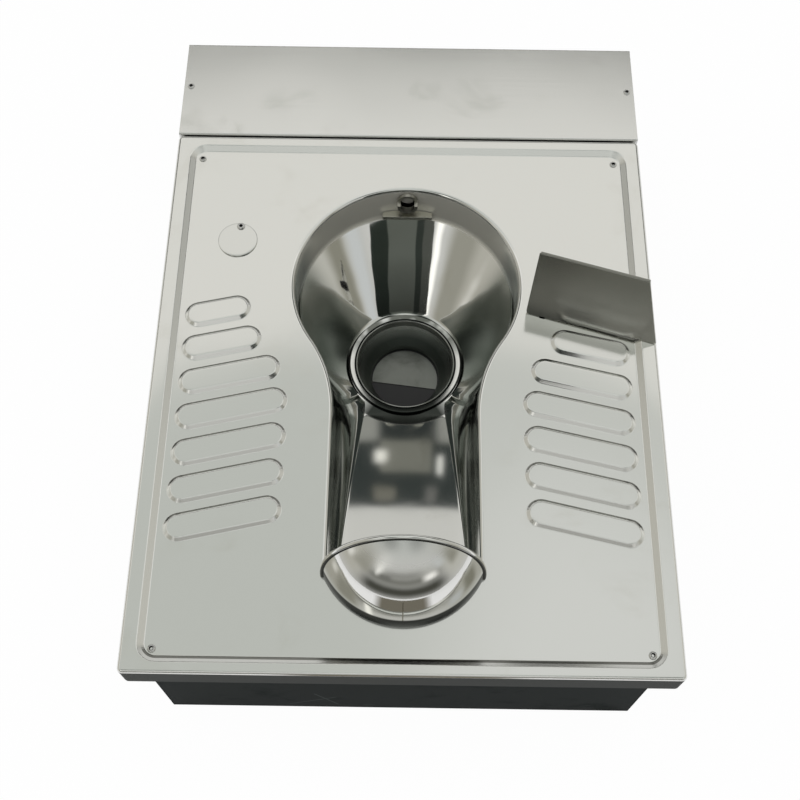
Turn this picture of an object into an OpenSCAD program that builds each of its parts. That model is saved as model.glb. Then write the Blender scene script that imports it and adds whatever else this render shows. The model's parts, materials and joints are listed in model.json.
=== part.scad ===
// Stainless steel squat toilet with a foot pedal that opens a flap under the bowl.
// The base rests on Z = 0, +Y points to the rear and the origin is the middle of the base.

/* [Deck] */
// Width of the deck and of the rear cover
deck_w = 530; // [500:1:600]
// Length of the deck, front to rear
deck_l = 620; // [600:1:680]
// Thickness of every folded sheet
sheet_t = 1.5; // [1:0.1:2]
// Height of the turned-down lip round the deck
lip_h = 35; // [25:1:45]
// Outside bend radius of the deck's edge
edge_r = 3.5; // [3:0.5:5]
// Width of the raised border at the sides
side_border = 16; // [14:1:20]
// Width of the raised border at the front
front_border = 11; // [10:1:16]
// Width of the raised border at the rear
rear_border = 13; // [10:1:16]
// Horizontal run of the sloped step inside the border
step_run = 6.5; // [4:0.5:8]
// Depth of the panel below the border
panel_drop = 4.5; // [3:0.5:6]
// Corner radius of the recessed panel
panel_corner_r = 12; // [8:1:18]

/* [Bowl] */
// Radius of the round part of the bowl's rim
bowl_r = 126; // [118:1:130]
// Distance from the deck's front edge to the centre of the round part
bowl_y = 428; // [420:1:440]
// Width of the channel between its parallel sides
slot_w = 157; // [145:1:165]
// Radius of the hollow curves where the channel widens into the bowl
throat_r = 150; // [140:1:170]
// Radius of the rolled rim
rim_r = 4; // [3:0.5:5]
// Depth of the steep rear wall below the deck's border
rear_wall_h = 47; // [40:1:55]
// Depth of the drain's seat below the deck's border
drain_depth = 120; // [110:1:140]
// Distance from the deck's front edge to the drain's centre
drain_y = 389; // [384:1:394]
// Rise of the channel floor per unit of length, towards the front
channel_rise = 0.2; // [0.12:0.01:0.25]
// Radius at the foot of the channel's side walls
channel_foot_r = 18; // [12:1:22]
// Radius at the foot of the rear wall
rear_foot_r = 8; // [5:1:12]
// Width of the weld flange under the deck
flange_w = 10; // [6:1:12]

/* [Splash hood] */
// Outside radius of the hood where it meets the deck
hood_r = 86; // [82:1:90]
// Distance from the deck's front edge to the centre of the hood's base
hood_y = 134; // [130:1:140]
// Height of the whole dome that the hood is cut from
dome_h = 78; // [70:1:84]
// Distance from the hood's centre forward to the foot of its mouth
mouth_set = 36; // [30:1:42]
// Lean of the mouth, top towards the rear, in degrees
mouth_lean = 10; // [4:1:16]
// Radius of the rolled bead round the mouth
bead_r = 3; // [2.5:0.5:3.5]

/* [Treads] */
// Number of raised treads on each side
tread_count = 7; // [4:1:7]
// Distance between treads
tread_pitch = 40.1; // [38:0.1:42]
// Distance from the deck's front edge to the outer end of the rearmost tread
tread_y = 381.5; // [378:0.5:383]
// Distance from the middle of the deck to the outer ends of the treads
tread_reach = 236; // [232:1:238]
// Width of a tread at its foot
tread_w = 30; // [26:1:31]
// Height of a tread
tread_h = 3; // [2:0.5:3]
// Width of the slope round a tread
tread_slope = 3.75; // [3:0.25:5]
// Tilt of the treads, inner end to the rear, in degrees
tread_tilt = 13; // [10:1:15]
// Flat ground between the bowl's rim and the treads
tread_gap = 43; // [38:1:50]

/* [Drain and flap] */
// Height of the drain's seat above the floor
drain_h = 52; // [50:1:60]
// Inside radius of the drain's mouth
drain_r = 55; // [52:1:56]
// Inside radius of the drain's lower rim
outlet_r = 40; // [38:1:42]
// Height of the drain's lower rim above the floor
outlet_z = 12; // [11:0.5:14]
// Radius of the flap's rubber seal
seal_r = 46; // [44:1:48]
// Thickness of the rubber seal
seal_t = 2.2; // [1.5:0.1:3]
// Thickness of the flap's disc and of the plate clamped on the seal
flap_t = 2; // [1.5:0.1:2.5]
// Turn of the clamp plate's straight edge, in degrees
clamp_turn = 9.4; // [0:0.1:15]
// Distance from the drain's centre forward to the flap's shaft
shaft_set = 78; // [77:1:80]
// Depth of the flap's shaft below the drain's seat
shaft_drop = 11; // [10.5:0.5:13]
// Radius of the flap's shaft
shaft_r = 6; // [5:0.5:7]

/* [Pedal] */
// Turn of the pedal and of the flap's shaft in plan, in degrees
pedal_turn = 16.4; // [14:0.1:18]
// Distance from the drain's centre back to the foot of the pedal plate
pedal_set = 39; // [38:0.5:40]
// Distance from the deck's side edge in to the plate's lower outer corner
pedal_edge_gap = 1.7; // [1:0.1:8]
// Width of the pedal plate at its foot
pedal_w = 141; // [130:1:142]
// Width of the pedal plate at its top edge
pedal_top_w = 115; // [100:1:120]
// Height of the pedal plate along its slope
pedal_h = 84; // [70:1:90]
// Thickness of the pedal plate
pedal_t = 2; // [1.5:0.5:2.5]
// Slope of the plate at rest, in degrees above level
pedal_slope = 73; // [68:1:76]
// Height of the pedal's axis above the deck's border
pedal_axis_h = 4.5; // [4.5:0.5:6]
// Turn of the pedal and of the flap from rest to fully open, in degrees
stroke = 60; // [40:1:60]
// Radius of the pedal's hinge pin
pin_r = 2.5; // [2:0.25:3]
// Distance along the pedal from the plate's inner edge to the cranks
crank_in = 18; // [16:1:20]
// Gap between the base plate and the lowest sweep of the link rod
link_floor_gap = 1.5; // [1:0.5:4]
// Gap between the deck's sheet and the link rod's upper eye at rest
link_sheet_gap = 1.3; // [1:0.1:3]

/* [Box and rear cover] */
// Distance from the deck's side edge in to the box
box_inset = 25; // [24:1:30]
// Distance from the deck's front edge back to the box
box_front = 6; // [4:1:8]
// Distance from the deck's rear edge forward to the box
box_rear = 6.5; // [5:0.5:8]
// Thickness of the base plate
base_t = 2; // [1.5:0.5:2]
// Length of the rear cover, front to rear
cover_l = 135; // [120:1:150]
// Seam between the deck and the rear cover
seam = 2; // [1:0.5:4]
// Radius of the four anchor holes in the base
anchor_r = 4.5; // [3:0.5:5.5]
// Width between the anchor holes
anchor_w = 400; // [380:1:420]
// Length between the anchor holes
anchor_l = 530; // [500:1:540]

/* [Water supply] */
// Outside radius of the inlet's pipe thread
inlet_r = 10.48; // [8.3:0.01:10.5]
// Length of the thread outside the rear wall
inlet_l = 14; // [10:1:16]
// Height of the inlet above the floor
inlet_z = 60; // [50:1:80]
// Distance from the middle of the deck to the inlet
inlet_x = 205; // [195:1:210]
// Outside radius of the hoses
hose_r = 6.5; // [5:0.5:7]
// Depth of the flush nozzle below the deck's border
nozzle_depth = 19.5; // [19.5:0.5:22]
// Inside radius of the flush nozzle
nozzle_bore_r = 8; // [6:0.5:8]

/* [Hidden] */

total_l = deck_l + seam + cover_l;
body_h = drain_h + drain_depth;      // height of the deck's border above the floor
panel_z = body_h - panel_drop;
panel_under_z = panel_z - sheet_t;
border_under_z = body_h - sheet_t;
fit = 0.05;          // radial running clearance
clear = 0.3;         // clearance between neighbours
thin = 0.01;
past = 20;           // how far a cutting tool runs past a sheet
round_fn = 64;

slot_half = slot_w / 2;
mouth_hole_r = hood_r - 2 * sheet_t;
throat_x = slot_half + throat_r;
throat_y = bowl_y - sqrt(pow(bowl_r + throat_r, 2) - pow(throat_x, 2));
seat_r = drain_r + 5;
lip_out = seat_r + 4;
seat_edge_r = lip_out + 1;
drain_z = drain_h;
rim_hole_gap = sheet_t + clear;

// ---------- shared helpers ----------

module from_front() translate([0, -total_l / 2, 0]) children();
// local x runs along the pedal and the flap's shaft, local y to the rear, z up
module at_linkage() from_front() translate([0, drain_y, 0]) rotate([0, 0, -pedal_turn]) children();
// a flat shape in local y and z, drawn as [y, z] and given its thickness along the shaft
module on_shaft_plane(s, t) translate([s, 0, 0]) rotate([90, 0, 90]) linear_extrude(t) children();
module shaft_rod(s, l, n, z, r) translate([s, n, z]) rotate([0, 90, 0]) cylinder(h = l, r = r, $fn = round_fn);
module mirror_both() { children(); mirror([1, 0, 0]) children(); }

function mix(a, b, t) = a + (b - a) * t;
function smooth(t) = let(c = min(1, max(0, t))) c * c * (3 - 2 * c);

// quads between rings of equal length, split into triangles; the last ring is capped or joined to the first
function ring_faces(rings, per, loop) = [
    for (i = [0 : (loop ? rings - 1 : rings - 2)]) for (j = [0 : per - 1])
        let(a = i * per + j, b = i * per + (j + 1) % per,
            c = ((i + 1) % rings) * per + (j + 1) % per, d = ((i + 1) % rings) * per + j)
        each [[a, b, c], [a, c, d]]];
function flat(lists) = [for (l = lists) each l];
module skin(rings) {
    n = len(rings);
    per = len(rings[0]);
    polyhedron(points = flat(rings), faces = concat(ring_faces(n, per, false),
        [[for (j = [per - 1 : -1 : 0]) j], [for (j = [0 : per - 1]) (n - 1) * per + j]]));
}
module closed_skin(rings) {
    polyhedron(points = flat(rings), faces = ring_faces(len(rings), len(rings[0]), true));
}

// rounded rectangle from corner to corner at height z, wound clockwise from above
corner_steps = 6;
function rounded_ring(x0, y0, x1, y1, r, z) = [
    for (q = [[x1 - r, y1 - r, 90], [x1 - r, y0 + r, 0], [x0 + r, y0 + r, -90], [x0 + r, y1 - r, -180]])
        for (k = [0 : corner_steps])
            let(a = q[2] - 90 * k / corner_steps) [q[0] + r * cos(a), q[1] + r * sin(a), z]];

// ---------- outline of the bowl's rim, as seen from the drain ----------
// turn is the angle from straight ahead (0) to straight back (180); i is how far inside the rim it lies

function mouth_corner_y(i) = hood_y - sqrt(pow(mouth_hole_r - i, 2) - pow(slot_half - i, 2));
function turn_mouth(i) = atan2(slot_half - i, drain_y - mouth_corner_y(i));
function turn_slot(i) = atan2(slot_half - i, drain_y - throat_y);
function turn_throat(i) =
    let(k = (bowl_r - i) / (bowl_r + throat_r))
    atan2(throat_x * k, drain_y - bowl_y + (bowl_y - throat_y) * k);
function reach_mouth(b, i) =
    let(d = drain_y - hood_y) cos(b) * d + sqrt(pow(mouth_hole_r - i, 2) - pow(sin(b) * d, 2));
function reach_slot(b, i) = (slot_half - i) / sin(b);
function reach_throat(b, i) =
    let(y = drain_y - throat_y, along = throat_x * sin(b) + y * cos(b))
    along - sqrt(pow(throat_r + i, 2) - throat_x * throat_x - y * y + along * along);
function reach_round(b, i) =
    let(e = bowl_y - drain_y) -cos(b) * e + sqrt(pow(bowl_r - i, 2) - pow(sin(b) * e, 2));
function reach(b, i) =
    b <= turn_mouth(i) ? reach_mouth(b, i) :
    b <= turn_slot(i) ? reach_slot(b, i) :
    b <= turn_throat(i) ? reach_throat(b, i) : reach_round(b, i);

mouth_steps = 8;
slot_steps = 5;
throat_steps = 6;
round_steps = 18;
half_turns = concat(
    [for (k = [0 : mouth_steps - 1]) turn_mouth(0) * k / mouth_steps],
    [for (k = [0 : slot_steps - 1]) mix(turn_mouth(0), turn_slot(0), k / slot_steps)],
    [for (k = [0 : throat_steps - 1]) mix(turn_slot(0), turn_throat(0), k / throat_steps)],
    [for (k = [0 : round_steps]) mix(turn_throat(0), 180, k / round_steps)]);
turns = concat([for (b = half_turns) -b], [for (k = [len(half_turns) - 2 : -1 : 1]) half_turns[k]]);

function outline(i) = [for (a = turns) let(r = reach(abs(a), i)) [r * sin(a), drain_y - r * cos(a)]];
function at_turn(a, r, z) = [r * sin(a), drain_y - r * cos(a), z];

// ---------- bowl ----------

wall_in = rim_r + 1.5;
rear_turn = 125;
rear_foot_turn = 52;
channel_foot_turn = 82;
function rear_share(b) = smooth((b - turn_slot(0)) / (rear_turn - turn_slot(0)));
function foot_r(b) = mix(channel_foot_r, rear_foot_r, rear_share(b));
function channel_depth(b) =
    drain_depth - channel_rise * max(0, reach(b, wall_in + channel_foot_r) * cos(b) - seat_edge_r);
function foot_depth(b) = mix(channel_depth(b), rear_wall_h, rear_share(b));
function foot_turn(b) = mix(channel_foot_turn, rear_foot_turn, rear_share(b));
// one point of the foot, out is the distance outside the inner skin and drop the distance below it
function foot_point(a, share, out) =
    let(b = abs(a), r = foot_r(b), f = foot_turn(b) * share)
    at_turn(a, reach(b, wall_in + r * (1 - cos(f)) - out), body_h - foot_depth(b) + r * (1 - sin(f)) - out);
function inner_rim(a, f) =
    at_turn(a, reach(abs(a), rim_r * sin(f)), panel_z - rim_r * (1 - cos(f)));
function flange_ring(out, z) = [for (a = turns) at_turn(a, reach(abs(a), -out), z)];

module bowl_shell() {
    closed_skin([
        for (f = [0, 30, 60, 90]) [for (a = turns) inner_rim(a, f)],
        for (s = [0, 0.33, 0.67, 1]) [for (a = turns) foot_point(a, s, 0)],
        for (r = [seat_edge_r, seat_r]) [for (a = turns) at_turn(a, r, drain_z)],
        for (r = [seat_r, seat_edge_r]) [for (a = turns) at_turn(a, r, drain_z - sheet_t)],
        for (s = [1, 0.5, 0]) [for (a = turns) foot_point(a, s, sheet_t)],
        flange_ring(sheet_t, panel_under_z - sheet_t),
        flange_ring(flange_w, panel_under_z - sheet_t),
        flange_ring(flange_w, panel_under_z),
        flange_ring(sheet_t, panel_under_z),
        flange_ring(sheet_t, panel_z)]);
}
nozzle_z = body_h - nozzle_depth;
nozzle_y = bowl_y + bowl_r;
nozzle_wall = 1.5;
nozzle_r = nozzle_bore_r + nozzle_wall;
hole_slack = 0.3;
module bowl() color("gainsboro") from_front() difference() {
    bowl_shell();
    translate([0, nozzle_y - 40, nozzle_z]) rotate([-90, 0, 0]) cylinder(h = 60, r = nozzle_r + hole_slack, $fn = round_fn);
}

// ---------- deck ----------

function tread_inner(y) =
    let(half = y <= throat_y ? slot_half :
        y <= bowl_y - (bowl_y - throat_y) * bowl_r / (bowl_r + throat_r)
            ? throat_x - sqrt(pow(throat_r, 2) - pow(y - throat_y, 2))
            : sqrt(pow(bowl_r, 2) - pow(y - bowl_y, 2)))
    half + tread_gap;
pad_steps = 8;
// outline of one tread in its own frame, x along it from its outer end
function pad_ring(l, r, z) = [
    for (e = [[l - tread_w / 2, 90], [tread_w / 2, -90]]) for (k = [0 : pad_steps])
        let(a = e[1] - 180 * k / pad_steps) [e[0] + r * cos(a), r * sin(a), z]];
module tread_pad(k) {
    y_out = tread_y - tread_pitch * k;
    y_in = y_out + tan(tread_tilt) * (tread_reach - slot_half - tread_gap);
    l = (tread_reach - tread_inner(y_in)) / cos(tread_tilt);
    translate([tread_reach, y_out, 0]) rotate([0, 0, 180 - tread_tilt])
        skin([pad_ring(l, tread_w / 2, -0.5), pad_ring(l, tread_w / 2, 0),
            pad_ring(l, tread_w / 2 - tread_slope, tread_h)]);
}
module treads() mirror_both() for (k = [0 : tread_count - 1]) tread_pad(k);

recess_x = deck_w / 2 - side_border;
recess_y0 = front_border;
recess_y1 = deck_l - rear_border;
module recess(grow, z0, z1) {
    step = step_run * (z1 - z0) / panel_drop;
    skin([rounded_ring(-recess_x + step_run - grow, recess_y0 + step_run - grow,
            recess_x - step_run + grow, recess_y1 - step_run + grow, panel_corner_r + grow, z0),
        rounded_ring(-recess_x + step_run - step - grow, recess_y0 + step_run - step - grow,
            recess_x - step_run + step + grow, recess_y1 - step_run + step + grow,
            panel_corner_r + step_run + grow, z1)]);
}
edge_plan_r = edge_r + 2;
function edge_ring(in, cut, z) = rounded_ring(-deck_w / 2 + in + cut, in + cut,
    deck_w / 2 - in - cut, deck_l - in - cut, max(0.5, edge_plan_r - in - cut), z);
module deck_cap(in, top, r) {
    skin(concat([edge_ring(in, 0, body_h - lip_h - (in > 0 ? 1 : 0))],
        [for (f = [0, 30, 60, 90]) edge_ring(in, r * (1 - cos(f)), top - r * (1 - sin(f)))]));
}
rivet_hole_r = 2;
deck_rivet_in = 30;
deck_rivet_x = deck_w / 2 - deck_rivet_in;
deck_rivet_y0 = 24;
deck_rivet_y1 = deck_l - deck_rivet_in;
module deck_rivet_places() for (x = [-deck_rivet_x, deck_rivet_x]) for (y = [deck_rivet_y0, deck_rivet_y1])
    translate([x, y, panel_z]) children();

port_x = -187;
port_y = 480;
port_r = 14;
port_cover_r = 21.5;
port_pivot = [2.5, 17];
port_pivot_r = 2.5;

// on a wider deck the pedal stays beside the bowl, on a narrower one it moves in with the edge
pedal_in_most = 122;
pedal_in = min(pedal_in_most,
    (deck_w / 2 - pedal_edge_gap - pedal_set * sin(pedal_turn)) / cos(pedal_turn) - pedal_w);
pedal_axis_z = body_h + pedal_axis_h;
tube_r = 4;
plate_lift = 0.5;    // gap under the plate's inner end
tube_behind = pedal_t + tube_r;      // distance of the axis behind the plate's front face
plate_foot_z = panel_z + plate_lift;
pedal_axis_n = pedal_set + tube_behind / sin(pedal_slope)
    + (pedal_axis_z - plate_foot_z) / tan(pedal_slope);
crank_s = pedal_in + crank_in;
crank_t = 4;
crank_w = 14;
crank_slack = 1;
link_eye_r = 7.5;
shaft_z = drain_h - shaft_drop;
crank_r = shaft_z - base_t - link_eye_r - link_floor_gap;
// how far behind straight down the cranks hang at rest
crank_rest = acos((pedal_axis_z - panel_under_z + link_eye_r + link_sheet_gap) / crank_r);
// reach of the pedal's crank in front of and behind its axis, at the sheet's underside
function crank_reach(f) = (pedal_axis_z - panel_under_z) * tan(f) + crank_w / 2 / cos(f);
slot_n0 = pedal_axis_n - crank_reach(stroke - crank_rest) - crank_slack;
slot_n1 = pedal_axis_n + crank_reach(crank_rest) + crank_slack;

module deck_hole() linear_extrude(body_h + past) polygon(outline(-rim_hole_gap));
module crank_slot() {
    translate([crank_s - crank_t / 2 - crank_slack, slot_n0, panel_z - past])
        cube([crank_t + 2 * crank_slack, slot_n1 - slot_n0, 2 * past]);
}
module deck() color("gainsboro") from_front() difference() {
    union() {
        difference() {
            deck_cap(0, body_h, edge_r);
            deck_cap(sheet_t, border_under_z, edge_r - sheet_t);
        }
        recess(sheet_t, panel_under_z, border_under_z + thin);
        translate([0, 0, panel_z]) treads();
    }
    difference() {
        recess(0, panel_z, body_h + thin);
        translate([0, 0, panel_z]) treads();
    }
    translate([0, 0, panel_under_z]) treads();
    deck_hole();
    deck_rivet_places() translate([0, 0, -past]) cylinder(h = 2 * past, r = rivet_hole_r, $fn = round_fn);
    translate([port_x, port_y, 0]) cylinder(h = body_h + past, r = port_r, $fn = round_fn);
    translate([port_x + port_pivot[0], port_y + port_pivot[1], 0])
        cylinder(h = body_h + past, r = port_pivot_r, $fn = round_fn);
    translate([0, drain_y, 0]) rotate([0, 0, -pedal_turn]) crank_slot();
}

rivet_head_r = 4;
rivet_head_h = 1.8;
rivet_core_r = 1.5;
// blind rivet seated on z = 0, with its hollow core open at the top
module blind_rivet(grip) rotate_extrude($fn = round_fn) polygon([
    [rivet_core_r, -grip - 2], [rivet_hole_r - fit, -grip - 2], [rivet_hole_r - fit, 0], [rivet_head_r, 0],
    [rivet_head_r, 0.5], [rivet_head_r - 0.9, 1.3], [rivet_head_r - 1.9, rivet_head_h],
    [rivet_core_r, rivet_head_h]]);
module deck_rivets() color("silver") from_front() deck_rivet_places() blind_rivet(2 * sheet_t);

// ---------- splash hood ----------

hood_steps = 14;
function dome(r, h, f) = [r * cos(f), h * sin(f)];
module dome_shell() rotate_extrude($fn = 96) polygon(concat(
    [for (k = [0 : hood_steps]) dome(hood_r, dome_h, 90 * k / hood_steps)],
    [for (k = [hood_steps : -1 : 0]) dome(hood_r - sheet_t, dome_h - sheet_t, 90 * k / hood_steps)]));
mouth_foot = [0, hood_y - mouth_set, panel_z];
module splash_hood() color("silver") from_front() intersection() {
    translate([0, hood_y, panel_z]) dome_shell();
    translate(mouth_foot) rotate([-mouth_lean, 0, 0])
        translate([-hood_r - 5, -2 * hood_r - bead_r, -40]) cube([2 * hood_r + 10, 2 * hood_r, 3 * hood_r]);
}
// the mouth's edge: where the leaning plane meets the dome's middle skin
function mouth_point(f) =
    let(r = hood_r - sheet_t / 2, h = dome_h - sheet_t / 2, k = tan(mouth_lean),
        // height at which x is hood-wide at sweep f, found from y = -mouth_set + k z on the dome
        a = 1 / (h * h) + k * k / (r * r), b = -2 * mouth_set * k / (r * r),
        c = mouth_set * mouth_set / (r * r) - 1,
        z_top = (-b + sqrt(b * b - 4 * a * c)) / (2 * a), z = z_top * sin(f),
        y = -mouth_set + k * z, x = r * sqrt(max(0, 1 - pow(y / r, 2) - pow(z / h, 2))))
    [f <= 90 ? x : -x, y, z];
bead_rings = 28;
bead_sides = 8;
function bead_centre(k) = mouth_point(180 * k / bead_rings);
module hood_bead() color("silver") from_front() translate([0, hood_y, panel_z]) difference() {
    skin([for (k = [0 : bead_rings])
        let(p = bead_centre(k), q0 = bead_centre(max(0, k - 1)), q1 = bead_centre(min(bead_rings, k + 1)),
            t = (q1 - q0) / norm(q1 - q0), side = [0, cos(mouth_lean), sin(mouth_lean)],
            up = cross(t, side))
        [for (j = [0 : bead_sides - 1]) let(g = 360 * j / bead_sides)
            p + bead_r * (side * cos(g) - up * sin(g))]]);
    translate([-hood_r - 20, -hood_r - 20, -20]) cube([2 * hood_r + 40, 2 * hood_r + 40, 20]);
}

// ---------- drain collar and flap ----------

collar_t = 1.5;
gasket_t = 1;
seat_top = drain_z + gasket_t;
module drain_collar() color("dimgray") from_front() translate([0, drain_y, 0]) rotate_extrude($fn = 96)
    polygon([[lip_out, seat_top], [lip_out, seat_top + collar_t], [lip_out - 1, seat_top + collar_t + 1.2],
        [drain_r + 2, seat_top + collar_t + 1.2], [drain_r, seat_top + collar_t], [drain_r, drain_z - 6],
        [outlet_r, outlet_z + 8], [outlet_r, outlet_z], [outlet_r + collar_t, outlet_z],
        [outlet_r + collar_t, outlet_z + 8], [drain_r + collar_t, drain_z - 6],
        [drain_r + collar_t, seat_top]]);
module collar_gasket() color("black") from_front() translate([0, drain_y, drain_z]) difference() {
    cylinder(h = gasket_t, r = lip_out - 0.5, $fn = 96);
    translate([0, 0, -1]) cylinder(h = gasket_t + 2, r = seat_r + 0.5, $fn = 96);
}

seal_top = outlet_z - clear;
disc_top = seal_top - seal_t;
disc_under = disc_top - flap_t;
clamp_t = 1.2;
clamp_r = outlet_r - 1.5;
clamp_edge = -8;
module flap_disc() color("silver") at_linkage() translate([0, 0, disc_under])
    cylinder(h = flap_t, r = seal_r + 1, $fn = 96);
module flap_seal() color("black") at_linkage() translate([0, 0, disc_top])
    cylinder(h = seal_t, r = seal_r, $fn = 96);
module flap_clamp_plate() color("darkgray") at_linkage() rotate([0, 0, clamp_turn]) translate([0, 0, seal_top])
    intersection() {
        cylinder(h = clamp_t, r = clamp_r, $fn = 96);
        translate([-clamp_r - 5, clamp_edge, -1]) cube([2 * clamp_r + 10, 2 * clamp_r, clamp_t + 2]);
    }

arm_s = 24;
arm_t = 4;
arm_under = 2.5;
hub_r = shaft_r + 2.5;
arm_end_n = 26;
arm_half = 7;
cross_bar_n = 30;
cross_bar_w = 16;
web_up = 8;
web_h = 18;
module arm_shape() difference() {
    union() {
        translate([-shaft_set - arm_half, arm_under]) square([2 * arm_half, shaft_z - arm_under]);
        translate([-shaft_set - arm_half, arm_under])
            square([shaft_set + arm_half + arm_end_n, disc_under - arm_under]);
        translate([-shaft_set, shaft_z]) circle(r = hub_r, $fn = round_fn);
    }
    translate([-shaft_set, shaft_z]) circle(r = shaft_r, $fn = round_fn);
}
module flap_arms() color("gray") at_linkage() {
    for (s = [-arm_s - arm_t / 2, arm_s - arm_t / 2]) on_shaft_plane(s, arm_t) arm_shape();
    // cross bar under the disc and web between the uprights
    translate([-arm_s + arm_t / 2, -cross_bar_n, arm_under])
        cube([2 * arm_s - arm_t, cross_bar_w, disc_under - arm_under]);
    translate([-arm_s + arm_t / 2, -shaft_set - arm_half, arm_under + web_up])
        cube([2 * arm_s - arm_t, arm_t, web_h]);
}

bracket_left_s = -85;
bracket_to_crank = 36;
bracket_right_s = crank_s - bracket_to_crank;
bracket_t = 4;
bush_r = shaft_r + 3;
bush_flange = 2;
shaft_over = 7;
shaft_end = bracket_left_s - bracket_t - bush_flange - shaft_over;
groove_in = 2;
groove_w = 1.5;
groove_d = 1;
module flap_shaft() color("silver") at_linkage() difference() {
    shaft_rod(shaft_end, crank_s + crank_t / 2 - shaft_end, -shaft_set, shaft_z, shaft_r);
    // groove for the clip at the free end
    translate([shaft_end + groove_in, 0, 0]) difference() {
        shaft_rod(0, groove_w, -shaft_set, shaft_z, shaft_r + groove_d);
        shaft_rod(-groove_w, 3 * groove_w, -shaft_set, shaft_z, shaft_r - groove_d);
    }
}

// crank plate in [y, z], hanging from its axis as at rest
module crank_shape(n, z) translate([n, z]) rotate(crank_rest) {
    circle(r = crank_w / 2 + 2, $fn = round_fn);
    translate([-crank_w / 2, -crank_r]) square([crank_w, crank_r]);
    translate([0, -crank_r]) circle(r = crank_w / 2, $fn = round_fn);
}
link_pin_r = 4;
link_gap = 1;
link_t = 4;
link_s = crank_s + crank_t / 2 + link_gap;
open_pivot_fit = 0.3;
link_w = 10;
crank_dn = crank_r * sin(crank_rest);
crank_dz = -crank_r * cos(crank_rest);
upper_pin = [pedal_axis_n + crank_dn, pedal_axis_z + crank_dz];
lower_pin = [-shaft_set + crank_dn, shaft_z + crank_dz];
pin_head_t = 1.5;
link_play = 0.5;     // between the link rod and the pins' outer heads
module crank_pin(p) {
    shaft_rod(crank_s - crank_t / 2 - pin_head_t, crank_t + link_gap + link_t + link_play + 2 * pin_head_t,
        p[0], p[1], link_pin_r);
    shaft_rod(link_s + link_t + link_play, pin_head_t, p[0], p[1], link_pin_r + pin_head_t);
    shaft_rod(crank_s - crank_t / 2 - pin_head_t, pin_head_t + crank_t / 2, p[0], p[1], link_pin_r + pin_head_t);
}
finger_r = 18;
finger_tip_r = 5;
finger_s = crank_s - 20;
finger_t = 5;
finger_w = 4;
module flap_crank() color("gray") at_linkage() difference() {
    union() {
        on_shaft_plane(crank_s - crank_t / 2, crank_t) crank_shape(-shaft_set, shaft_z);
        crank_pin(lower_pin);
        on_shaft_plane(finger_s - finger_t / 2, finger_t) translate([-shaft_set, shaft_z]) rotate(stroke / 2) {
            circle(r = hub_r + 1, $fn = round_fn);
            translate([-finger_w / 2, -finger_r]) square([finger_w, finger_r]);
            translate([0, -finger_r]) circle(r = finger_tip_r, $fn = round_fn);
        }
        shaft_rod(finger_s, crank_s - finger_s, -shaft_set, shaft_z, hub_r);
    }
    shaft_rod(finger_s - finger_t, crank_s - finger_s + 2 * finger_t, -shaft_set, shaft_z, shaft_r);
}

link_v = lower_pin - upper_pin;
link_l = norm(link_v);
link_tilt = atan2(link_v[1], link_v[0]);
module link_rod() color("silver") at_linkage() on_shaft_plane(link_s, link_t)
    translate(upper_pin) rotate(link_tilt) difference() {
        union() {
            circle(r = link_eye_r, $fn = round_fn);
            translate([0, -link_w / 2]) square([link_l, link_w]);
            translate([link_l, 0]) circle(r = link_eye_r, $fn = round_fn);
        }
        circle(r = link_pin_r + fit, $fn = round_fn);
        translate([link_l, 0]) circle(r = link_pin_r + open_pivot_fit, $fn = round_fn);
    }

// ---------- shaft brackets ----------

bracket_w = 34;
foot_l = 24;
foot_t = 4;
bracket_bolt_r = 3;
bolt_edge = 7;       // from a bracket foot's end to its bolt
bolt_head_r = 5.8;
bolt_head_t = 4;
module bracket(s, side) {
    t0 = side < 0 ? s - bracket_t : s;
    f0 = side < 0 ? s - bracket_t - foot_l : s + bracket_t;
    on_shaft_plane(t0, bracket_t) difference() {
        union() {
            translate([-shaft_set - bracket_w / 2, base_t]) square([bracket_w, shaft_z - base_t]);
            translate([-shaft_set, shaft_z]) circle(r = bracket_w / 2, $fn = round_fn);
        }
        translate([-shaft_set, shaft_z]) circle(r = bush_r, $fn = round_fn);
    }
    difference() {
        translate([f0, -shaft_set - bracket_w / 2, base_t]) cube([foot_l, bracket_w, foot_t]);
        bracket_bolt_places(s, side) translate([0, 0, -1]) cylinder(h = past, r = bracket_bolt_r, $fn = round_fn);
    }
}
module bracket_bolt_places(s, side) for (n = [-1, 1])
    translate([s + side * (bracket_t + foot_l / 2 + 1), -shaft_set + n * (bracket_w / 2 - bolt_edge), base_t]) children();
module both_bolt_places() {
    bracket_bolt_places(bracket_left_s, -1) children();
    bracket_bolt_places(bracket_right_s, 1) children();
}
module shaft_brackets() color("gray") at_linkage() {
    bracket(bracket_left_s, -1);
    bracket(bracket_right_s, 1);
}
// flanged bush in a bracket whose inner face lies at s, with its flange outside
module bush(s, side) difference() {
    union() {
        shaft_rod(side < 0 ? s - bracket_t : s, bracket_t, -shaft_set, shaft_z, bush_r);
        shaft_rod(side < 0 ? s - bracket_t - bush_flange : s + bracket_t, bush_flange, -shaft_set, shaft_z, bush_r + 2);
    }
    shaft_rod(s - bracket_t - bush_flange - 1, 2 * (bracket_t + bush_flange + 1), -shaft_set, shaft_z, shaft_r + fit);
}
module shaft_bushes() color("beige") at_linkage() {
    bush(bracket_left_s, -1);
    bush(bracket_right_s, 1);
}
module bracket_bolts() color("silver") at_linkage() both_bolt_places() {
    translate([0, 0, -base_t]) cylinder(h = base_t + foot_t, r = bracket_bolt_r, $fn = round_fn);
    translate([0, 0, foot_t]) cylinder(h = bolt_head_t, r = bolt_head_r, $fn = 6);
}

// ---------- return spring ----------

spring_wire_r = 1;
spring_turns = 8;
spring_pitch = 4.5;
spring_sides = 6;
spring_per_turn = 8;
spring_steps = spring_turns * spring_per_turn;
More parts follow.
